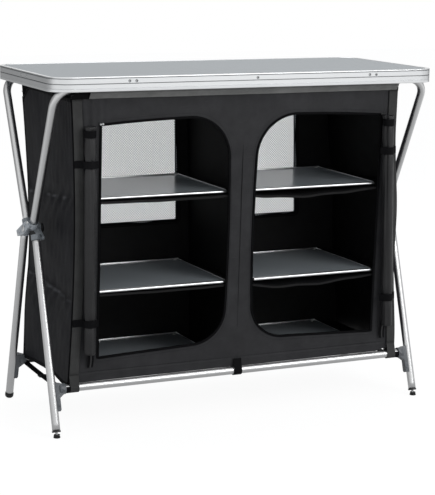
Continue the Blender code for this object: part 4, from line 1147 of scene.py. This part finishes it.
def make_inside():
    """Centre divider and floor of the cabinet."""
    share, level = grid_of(np.linspace(-1, 1, 60), np.linspace(0, 1, 90))
    z = HEM_Z + 0.010 + (PANEL_TOP - 0.004 - HEM_Z - 0.010) * level
    y = share * (wall_y(z) - 0.0030)
    x = COLUMN_SHIFT * smooth_step(-share, 0.2, 1.0) + 0.0016 * ripple(y, z, 0.15, 61) * (
        1 - share ** 4)
    divider = surface("divider_cloth", np.stack((x, y, z), -1), LINING, "cabinet",
                      "centre_divider", thick=CLOTH, outward=X_AXIS)

    low, high = box("floor_panel")
    x, y = grid_of(np.linspace(low[0], high[0], 90), np.linspace(low[1], high[1], 40))
    edge = (1 - (x / high[0]) ** 8) * (1 - (y / high[1]) ** 8)
    z = high[2] - 0.0002 - 0.0014 * edge * (0.5 + 0.5 * ripple(x, y, 0.12, 67))
    floor = surface("floor_cloth", np.stack((x, y, z), -1), LINING, "cabinet", "floor_panel",
                    thick=CLOTH, outward=Z_AXIS)


def make_slings():
    """Cloth shelves under the loose boards. The front hem hangs in a curve below the board, and
    more so on the right, where it also slumps towards the divider."""
    drop = {("upper", "left"): 0.0040, ("middle", "left"): 0.0035,
            ("upper", "right"): 0.0135, ("middle", "right"): 0.0175}
    share, depth = grid_of(np.linspace(0, 1, 90), np.linspace(0, 1, 56))
    for (level, name), sag in drop.items():
        sx = SIDES[name]
        low, high = box(f"shelf_sling_{level}_{name}")
        inner, outer = sorted((abs(low[0]), abs(high[0])))
        top = SHELF_TOP[level] - BOARD_THICK - 0.0006
        front = low[1] - 0.0008
        outer = min(outer, side_reach(sx, top) - 0.0030)
        x = sx * (inner + (outer - inner) * share)
        y = front + (high[1] - front) * depth
        hang = np.sin(math.pi * share ** 0.72) ** 1.1 * (1 + 0.10 * np.sin(share * 21 + sag * 900))
        z = top - sag * hang * (1 - depth) ** 3 - 0.0006 * (
            0.5 + 0.5 * ripple(x, y, 0.07, int(1000 * top)))
        sling = surface(f"sling_{level}_{name}", np.stack((x, y, z), -1), LINING, "cabinet",
                        f"shelf_sling_{level}_{name}", thick=CLOTH, outward=Z_AXIS)
        hem_line = np.stack((x[:, 0], y[:, 0] + 0.0010, z[:, 0] - 0.0022), -1)
        band(f"sling_hem_{level}_{name}", hem_line, stadium(0.0052, 0.0018), Z_AXIS, LINING)


def bar_of(name, section, stations, finish, body, degrees=40.0, replaces=(), along_y=False):
    """A straight bar: a section of (a, z) points repeated at places along x or along y."""
    section = np.asarray(section, float)
    grid = np.array([np.insert(section, 1 if along_y else 0, at, axis=1) for at in stations])
    return sharpen(surface(name, grid, finish, body, replaces, closed=(False, True), caps=True),
                   degrees)


def make_boards():
    """Six loose boards with fine chamfers, each with a bright half-round strip on its front
    edge, a thin channel on its rear edge, rims at its sides and snap studs on its rear
    corners."""
    stud = mm(0, 1.6, 2.2, 1.6, 3, 1, 3.1, 0.3, 4.8, 0, 5, -0.6, 0, -0.6)
    radius = BOARD_THICK / 2
    for level in LEVELS:
        for name, sx in SIDES.items():
            body = "cabinet" if level == "lower" else f"board_{level}_{name}"
            low, high = box(f"shelf_board_{level}_{name}")
            top, bottom, rear = high[2], low[2], high[1]
            nose = low[1] + radius
            trim_at, edge = nose + 0.0022, 0.0006
            section = np.array([(trim_at, top), (rear - edge, top), (rear, top - edge),
                                (rear, bottom + edge), (rear - edge, bottom), (trim_at, bottom)])
            inwards = -np.sign(section - ((trim_at + rear) / 2, (top + bottom) / 2))
            ends = ((low[0] + 0.0002, 0.0004), (low[0] + 0.0006, 0.0),
                    (high[0] - 0.0006, 0.0), (high[0] - 0.0002, 0.0004))
            grid = np.array([np.insert(section + inwards * inset, 0, x, axis=1)
                             for x, inset in ends])
            sharpen(surface(f"shelf_{level}_{name}", grid, SHELF, body,
                            f"shelf_board_{level}_{name}", closed=(False, True), caps=True), 25.0)

            round_nose = arc((nose, (top + bottom) / 2), radius + 0.0002, 90, 270, 14)
            above = (trim_at, top) + mm(0.4, -0.6, 2.2, -0.3, 2.2, 0.2)
            below = (trim_at, bottom) + mm(2.2, -0.2, 2.2, 0.3, 0.4, 0.6)
            bar_of(f"shelf_trim_{level}_{name}", np.vstack((round_nose, below, above)),
                   np.linspace(low[0], high[0], 16), EDGING, body)
            channel = np.vstack((
                (rear, top) + mm(-3.4, 1.8, -2.8, 2.6, -1.8, 3, -0.4, 2.8, 0.3, 2.2),
                (rear, bottom) + mm(0.3, 0, 0, -0.3, -3.4, -0.3, -3.4, -0.1, -0.2, -0.1),
                (rear, top) + mm(-0.2, 0.1, -3.4, 0.1)))
            bar_of(f"shelf_rear_trim_{level}_{name}", channel, np.linspace(low[0], high[0], 12),
                   EDGING, body)
            for label, x, turn in (("left", low[0], 1), ("right", high[0], -1)):
                lip = (x, top) + mm(0, -0.4, 0, 1.2, 0.6, 1.6, 1.3, 1.3, 1.7, 0.6, 1.7, -0.4) * (
                    turn, 1)
                bar_of(f"shelf_{label}_rim_{level}_{name}", lip,
                       np.linspace(trim_at, rear - 0.0036, 12), EDGING, body, along_y=True)
            places = [(sx * x, SHELF_REAR[level] - 0.012, SHELF_TOP[level] + 0.0004)
                      for x in (SHELF_IN + 0.013, SHELF_OUT - 0.013)]
            turned(f"shelf_studs_{level}_{name}", stud, places, [Z_AXIS] * 2, STEEL, body)


# ---------------------------------------------------------------- rolled doors and straps

ROLL_X = {-1: (-0.3975, -0.4030), 1: (0.4070, 0.3790)}      # at the foot and the head
TIES = {"low": 0.072, "upper": -0.088, "top": -0.017}       # from the roll's foot or its head
ROLL_TURNS = 5.4

# Lengthways creases of a roll: angle, drift per metre, depth and angular width
CREASES = ((0.4, 1.9, 0.0020, 0.26), (1.3, 0.8, 0.0014, 0.16), (1.9, -2.6, 0.0017, 0.22),
           (3.3, 1.2, 0.0021, 0.30), (4.1, -0.9, 0.0015, 0.17), (4.8, -1.4, 0.0018, 0.24))


def make_rolled_doors():
    """Each door is one sheet rolled into a spiral of somewhat over five turns: the radius grows
    with the angle, is drawn in under the ties and fuller between them, and the outermost turn
    hangs a little loose."""
    for name, sx in SIDES.items():
        foot, head = (np.array((x, -wall_y(z) - ROLL_R - 0.0005, z)) for x, z in
                      zip(ROLL_X[sx], (ROLL_LOW[2] + 0.0008, ROLL_HIGH[2] - 0.0008)))
        way, length = unit(head - foot), np.linalg.norm(head - foot)
        out = unit(np.cross(X_AXIS, way))
        ties = {label: at if at > 0 else length + at for label, at in TIES.items()}
        turn, along = grid_of(np.linspace(0, ROLL_TURNS * 2 * math.pi, 230),
                              np.linspace(0, length, 130))
        last = turn[-1, 0]
        grow = 0.0036 + 0.0112 * turn / last
        pinch = 1.0 - 0.20 * np.clip(sum(bell(along, at, 0.015) for at in ties.values()), 0, 1)
        wave = ripple(turn * 0.006, along, 0.09, 71 + sx)
        fold = 0.0003 + 0.0005 * np.sin(turn * 3 + along * 40) + 0.0007 * wave
        crease = sum(depth * bell((turn - start - drift * along) % (2 * math.pi), 3.0, width)
                     for start, drift, depth, width in CREASES)
        near_tie = sum(bell(along, at, 0.024) for at in ties.values())
        gather = 0.0006 * np.sin(turn * 7 + 2.0) * np.clip(near_tie, 0, 1)
        radius = np.minimum(grow * pinch - crease * turn / last + gather
                            + fold * smooth_step(turn, last - 5.0, last), ROLL_R + 0.0001)
        direction = sx * turn + math.pi * 0.62
        lean = 0.0022 * np.sin(turn * 0.5 + 1.0) * bell(along, 0, 0.02)
        points = (foot + way * (along + lean)[..., None]
                  + (radius * np.cos(direction))[..., None] * X_AXIS
                  + (radius * np.sin(direction))[..., None] * out)
        roll = surface(f"rolled_door_{name}", points, ROLL_FABRIC, "cabinet",
                       f"door_roll_{name}", thick=0.0005)
        band(f"rolled_door_binding_{name}", points[-1], stadium(0.0040, 0.0018),
             unit(points[-1][0] - foot))

        circle = ring(1.0, 48)
        for label, at in ties.items():
            middle = foot + way * at
            path = middle + TIE_R[0] * circle[:, :1] * X_AXIS + TIE_R[1] * circle[:, 1:] * out
            band(f"door_tie_{label}_{name}", path, stadium(TIE_WIDTH, 0.0014), way, closed=True)
            if label != "top":
                door_tie_tail(sx, f"door_tie_end_{label}_{name}", middle, way)
        zip_tail(sx, name, foot)


def door_tie_tail(sx, name, middle, way):
    """The strap's end runs from the corner webbing over the roll and sticks out past it."""
    start = side_reach(sx, middle[2]) - 0.0005
    x = np.append((start, start - 0.008), sx * middle[0] + np.array(
        (0.0175, 0.0135, 0.0070, 0.0, -0.0080, -0.0165, -0.0225)))
    y = np.array((0.0030, 0.0032, 0.0060, 0.0180, 0.0272, 0.0302, 0.0280, 0.0205, 0.0150))
    knots, fine = np.linspace(0, 1, len(x)), np.linspace(0, 1, 60)
    run_x, run_y = (smooth_curve(knots, values, fine) for values in (sx * x, y))
    path = np.column_stack((run_x, -wall_y(middle[2]) - run_y, np.full_like(fine, middle[2])))
    band(name, path, stadium(TIE_END_WIDTH, 0.0013), way)


def smooth_curve(knots, values, fine):
    """A cubic through the values with Catmull-Rom slopes."""
    slope = np.gradient(values, knots)
    place = np.clip(np.searchsorted(knots, fine, side="right") - 1, 0, len(knots) - 2)
    span = knots[place + 1] - knots[place]
    t = (fine - knots[place]) / span
    return ((2 * t ** 3 - 3 * t ** 2 + 1) * values[place]
            + (t ** 3 - 2 * t ** 2 + t) * span * slope[place]
            + (-2 * t ** 3 + 3 * t ** 2) * values[place + 1]
            + (t ** 3 - t ** 2) * span * slope[place + 1])


def zip_tail(sx, name, foot):
    """The zip's end hangs from the roll's foot, with its slider and pull."""
    fine = np.linspace(0, 1, 30)
    z = foot[2] + 0.012 - 0.050 * fine
    path = np.column_stack((foot[0] - sx * (0.004 + 0.004 * np.sin(fine * 2.6)),
                            -wall_y(z) - 0.0040 - 0.0045 * (1 - fine) ** 2, z))
    band(f"zip_tail_{name}", path, stadium(0.0150, 0.0012), X_AXIS)
    band(f"zip_teeth_{name}", path + (0, -0.0010, 0), stadium(0.0042, 0.0016), X_AXIS,
         BLACK_PLASTIC)
    z = DOOR_HEAD - DOOR_HEAD_DROP + 0.002
    corner = np.array((sx * (DOOR_OUT + 0.002), -wall_y(z) - 0.0034, z))
    turned(f"zip_slider_{name}", mm(0, 1.8, 1.8, 1.6, 2.6, 0.7, 2.6, -0.8, 0, -1.2),
           [corner, corner + (-sx * 0.0055, 0, 0.0006)], [-Y_AXIS] * 2,
           STEEL if sx < 0 else BLACK_PLASTIC)


def make_sleeves():
    """Each sleeve wraps its bar, and its two layers run together into a skirt that is sewn to
    the wall. A round section, open below, with gathers that fade towards the bar."""
    x = np.linspace(SLEEVE_LOW[0], SLEEVE_RIGHT, 260)
    skirt_z = np.linspace(TOP_BAR_Z - SLEEVE_R * 0.995, PANEL_TOP - 0.0100, 12)[1:]
    wall = wall_y(skirt_z) + 0.0010
    skirt_y = TOP_BAR_Y + (wall - TOP_BAR_Y) * smooth_step(-skirt_z, -skirt_z[0], -skirt_z[-1])
    section = np.vstack((arc((TOP_BAR_Y, TOP_BAR_Z), SLEEVE_R, 246, -96, 35),
                         np.column_stack((np.maximum(skirt_y, wall), skirt_z))))
    grid_x, _ = grid_of(x, np.arange(len(section)))
    depth = np.clip((TOP_BAR_Z - section[:, 1]) / 0.028, 0, 1)[None]
    slack = 0.0005 * gathers(grid_x)
    wavy = 0.0006 * ripple(grid_x, grid_x * 0, 0.06, 81)
    for end, sy in ENDS.items():
        grid = np.stack((grid_x, sy * (section[None, :, 0] + slack * depth),
                         section[None, :, 1] + wavy * depth), -1)
        sleeve = surface(f"sleeve_cloth_{end}", grid, SLEEVE, f"bow_{end}", f"top_sleeve_{end}",
                         thick=0.0004)


def make_corner_tabs():
    """Black binding where the walls' top corners pass the bar's bend."""
    level = np.linspace(0, 1, 10)[None]
    for end, sy, name, sx in CORNERS:
        inner = SLEEVE_LOW[0] if sx < 0 else SLEEVE_RIGHT
        outer = sx * (side_reach(sx, 0.79) + 0.0015)
        x = np.linspace(inner, outer, 24)
        share = (x - inner) / (outer - inner)
        slope = 0.010 * smooth_step(share, 0.6, 1.0)
        if end == "rear":
            slope = slope + 0.018 * smooth_step(share, 0.3, 1.0)
        foot = TAB_FOOT + 0.016 * smooth_step(share, 0.75, 1.0) - slope
        z = foot[:, None] + (TAB_HEAD - slope - foot)[:, None] * level
        grid_x = np.broadcast_to(x[:, None], z.shape)
        y = sy * (wall_y(z) + 0.0008 + 0.0010 * ripple(grid_x, z, 0.02, 90 + sx))
        surface(f"corner_binding_{end}_{name}", np.stack((grid_x, y, z), -1), BLACK_WEB,
                thick=0.0012, outward=(0, sy, 0))


def make_webbing():
    """Webbing down each corner of the cabinet, its loops round the bottom bars and the centre
    loops."""
    loop_top = HEM_Z + 0.018
    z = np.linspace(PANEL_TOP - 0.011, loop_top, 90)
    for end, sy in ENDS.items():
        start = 0 if sy > 0 else 180
        round_bar = arc((sy * LOW_BAR_Y, LOW_BAR_Z), LOOP_R, start, start - sy * 180, 24)
        leave = np.array((sy * (wall_y(loop_top) + 0.0014), loop_top))
        tuck = np.array((sy * (LOW_BAR_Y - LOOP_R), HEM_Z - 0.0006))
        run = np.linspace(0, 1, 8)[:-1, None]
        loop = np.vstack((leave + (round_bar[0] - leave) * run, round_bar, tuck))
        for name, sx in SIDES.items():
            away = rear_flare(sx, z) * smooth_step(z, loop_top, loop_top + 0.07) * (sy > 0)
            x = sx * (side_reach(sx, z) + away - CORNER_WEB / 2 - 0.0010)
            y = sy * (wall_y(z) + 0.0012 + 0.0004 * ripple(x, z, 0.05, 95))
            band(f"corner_web_{end}_{name}", np.column_stack((x, y, z)),
                 stadium(CORNER_WEB, 0.0013), X_AXIS, GREY_WEB,
                 replaces=f"corner_webbing_{end}_{name}")
            strap_at(f"corner_web_loop_{end}_{name}", x[-1], loop, CORNER_WEB, 0.0014, GREY_WEB)
        strap_at(f"centre_bar_loop_{end}", COLUMN_SHIFT, loop, 0.022, 0.0015,
                 replaces=f"centre_loop_{end}")


def make_limiters():
    """The limiter straps with their buckles, between the bottom bars. Each is split in the
    middle: a half hooks round its own bar and is flattened towards it when the frame folds."""
    hooks = {"front": arc((-LOW_BAR_Y, LOW_BAR_Z), LOOP_R, 150, 270, 16),
             "rear": arc((LOW_BAR_Y, LOW_BAR_Z), LOOP_R, 270, 390, 16)}
    start, stop = hooks["front"][-1], hooks["rear"][0]
    share = np.linspace(0, 1, 30)
    flat = np.column_stack((start[0] + (stop[0] - start[0]) * share,
                            start[1] - 0.0020 * np.sin(math.pi * share)))
    halves = {"front": flat[:15], "rear": flat[14:]}
    for name, sx in SIDES.items():
        low, high = box(f"limiter_strap_{name}")
        x = (low[0] + high[0]) / 2 + sx * LIMITER_OUT
        for end, body in BAR_BODY.items():
            strap_at(f"limiter_hook_{end}_{name}", x, hooks[end], LIMITER_WIDTH, 0.0015, body=body)
            things = [strap_at(f"limiter_belt_{end}_{name}", x, halves[end], LIMITER_WIDTH,
                               0.0015, body=body, replaces=f"limiter_strap_{name}")]
            if end == "front":
                things.append(strap_at(f"limiter_belt_end_{name}", x, flat[1:15] + (0, 0.0018),
                                       LIMITER_WIDTH, 0.0014, body=body))
            else:
                things.append(make_tri_glide(f"limiter_glide_{name}",
                                             (x, GLIDE_Y, flat[15, 1] + 0.0006), body))
            for thing in things:
                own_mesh(thing)


def make_tri_glide(name, place, body):
    """A slider buckle: a rounded rectangular frame and a middle bar, as rings of round rod."""
    outline = rounded_rectangle(0.0105, 0.0090, 0.0030, 0.0, 6, 6) + place
    rod = mesh_of(name, swept(outline, ring(0.0014, 12), Z_AXIS, True), closed=(True, True))
    path = np.zeros((12, 3)) + place + (0, 0, 0.0006)
    path[:, 0] += np.linspace(-0.0100, 0.0100, 12)
    bar = mesh_of(name + "_bar", swept(path, stadium(0.0044, 0.0022), Y_AXIS),
                  closed=(False, True), caps=True)
    return piece(name, rebuilt(rod, [rod, bar]), BLACK_PLASTIC, body)


# ---------------------------------------------------------------- studio and camera

def gloss_level(n):
    """Brightness of the surroundings for gloss: bright before the object and straight behind
    it, half dark at the sides."""
    place = n.add("ShaderNodeTexCoord").outputs["Object"]
    parts = n.split(place)
    level = n.maths("MULTIPLY_ADD", parts[1], -0.36, 0.52)
    level = n.maths("MULTIPLY_ADD", n.maths("MAXIMUM", parts[2], 0.0), 0.25, level)
    ahead = n.add("ShaderNodeVectorMath", operation="DOT_PRODUCT")
    n.link(place, ahead.inputs[0])
    ahead.inputs[1].default_value = (0.42, 0.89, 0.17)
    lobe = n.spread(ahead.outputs["Value"], 0.93, 0.985, 0.0, 0.75)
    return n.maths("ADD", level, lobe, clamp=True)


def floor_gloss(n):
    """Brightness of the floor for gloss: grey below the object, bright far in front of it and
    darker behind it."""
    place = n.add("ShaderNodeTexCoord").outputs["Object"]
    length = n.add("ShaderNodeVectorMath", operation="LENGTH")
    n.link(place, length.inputs[0])
    away = n.spread(length.outputs["Value"], 0.8, 3.2, 0.43, 0.95)
    return n.maths("MULTIPLY", away, n.spread(n.split(place)[1], 0.6, 2.4, 1.0, 0.36))


def shader(n, kind, **values):
    """A shader node with its constants; its first output goes on."""
    node = n.add(kind)
    for label, value in values.items():
        n.fill(node.inputs[label], value)
    return node.outputs[0]


def mixed(n, kind, *sources):
    """A mix or add node with its inputs in order."""
    node = n.add(kind)
    for socket, source in zip(node.inputs, sources):
        n.link(source, socket)
    return node.outputs[0]


def rays(n):
    """Masks of the rays that see things straight, and of gloss."""
    path = n.add("ShaderNodeLightPath").outputs
    return (n.maths("MAXIMUM", path["Is Camera Ray"], path["Is Transmission Ray"]),
            path["Is Glossy Ray"])


def nodes_of(holder):
    """The emptied node tree of a world or a material."""
    holder.use_nodes = True
    n = Nodes(holder.node_tree)
    n.where.nodes.clear()
    return n


def make_studio():
    """White surroundings that only the camera and gloss see, a pale floor that keeps its
    shadow, and soft lamps."""
    world = bpy.data.worlds.new("white_studio")
    bpy.context.scene.world = world
    n = nodes_of(world)
    seen, gloss = rays(n)
    room = shader(n, "ShaderNodeBackground", Color=colour(0.93, 0.96, 1.0), Strength=0.55)
    white = shader(n, "ShaderNodeBackground", Color=colour(1.0, 1.0, 1.0),
                   Strength=n.maths("MAXIMUM", seen, gloss_level(n)))
    mix = mixed(n, "ShaderNodeMixShader", n.maths("MAXIMUM", seen, gloss), room, white)
    n.link(mix, n.add("ShaderNodeOutputWorld").inputs["Surface"])

    data = bpy.data.meshes.new("studio_floor")
    corners = [(x * FLOOR_REACH, y * FLOOR_REACH, 0) for x, y in ((-1, -1), (1, -1), (1, 1),
                                                                  (-1, 1))]
    data.from_pydata(corners, [], [(0, 1, 2, 3)])
    pale = bpy.data.materials.new("pale_floor")
    data.materials.append(pale)
    n = nodes_of(pale)
    seen, gloss = rays(n)
    matt = shader(n, "ShaderNodeBsdfDiffuse", Color=colour(0.72, 0.72, 0.72))
    shade = shader(n, "ShaderNodeBsdfDiffuse", Color=colour(0.10, 0.10, 0.10))
    glow = shader(n, "ShaderNodeEmission",
                  Strength=n.maths("ADD", n.maths("MULTIPLY", gloss, floor_gloss(n)),
                                   n.maths("MULTIPLY_ADD", gloss, -0.94, 0.94)))
    mix = mixed(n, "ShaderNodeMixShader", n.maths("MAXIMUM", seen, gloss), matt,
                mixed(n, "ShaderNodeAddShader", shade, glow))
    n.link(mix, n.add("ShaderNodeOutputMaterial").inputs["Surface"])
    placed("studio_floor", data)

    for name, (place, target, size, power) in LAMPS.items():
        light = bpy.data.lights.new(name, "AREA")
        light.size, light.energy = size, power
        placed(name, light, place, target)


def placed(name, data, place=None, target=None, roll=0.0):
    """A new object in the scene, whose -Z points from place to target."""
    thing = bpy.data.objects.new(name, data)
    bpy.context.scene.collection.objects.link(thing)
    if place is not None:
        back = unit(np.array(place) - np.array(target))
        right = unit(np.cross(Z_AXIS, back))
        up = np.cross(back, right)
        c, s = math.cos(roll), math.sin(roll)
        turn = Matrix(np.column_stack((c * right + s * up, c * up - s * right, back))).to_4x4()
        thing.matrix_world = Matrix.Translation(place) @ turn
    return thing


def make_camera():
    """The camera fitted to the photograph."""
    back = np.array((math.sin(AZIMUTH) * math.cos(ELEVATION),
                     -math.cos(AZIMUTH) * math.cos(ELEVATION), math.sin(ELEVATION)))
    data = bpy.data.cameras.new("photo_camera")
    data.lens, data.sensor_width = LENS, 36.0
    bpy.context.scene.camera = placed("photo_camera", data, CAMERA_AT, CAMERA_AT - back, ROLL)


make_worktop()
make_tubes()
make_hubs()
make_brackets_and_feet()
make_front()
make_back()
make_sides()
make_inside()
make_slings()
make_boards()
make_rolled_doors()
make_sleeves()
make_corner_tabs()
make_webbing()
make_limiters()
for thing in FOLDED:
    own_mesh(thing)
make_studio()
make_camera()
bpy.context.scene.view_settings.view_transform = "Standard"
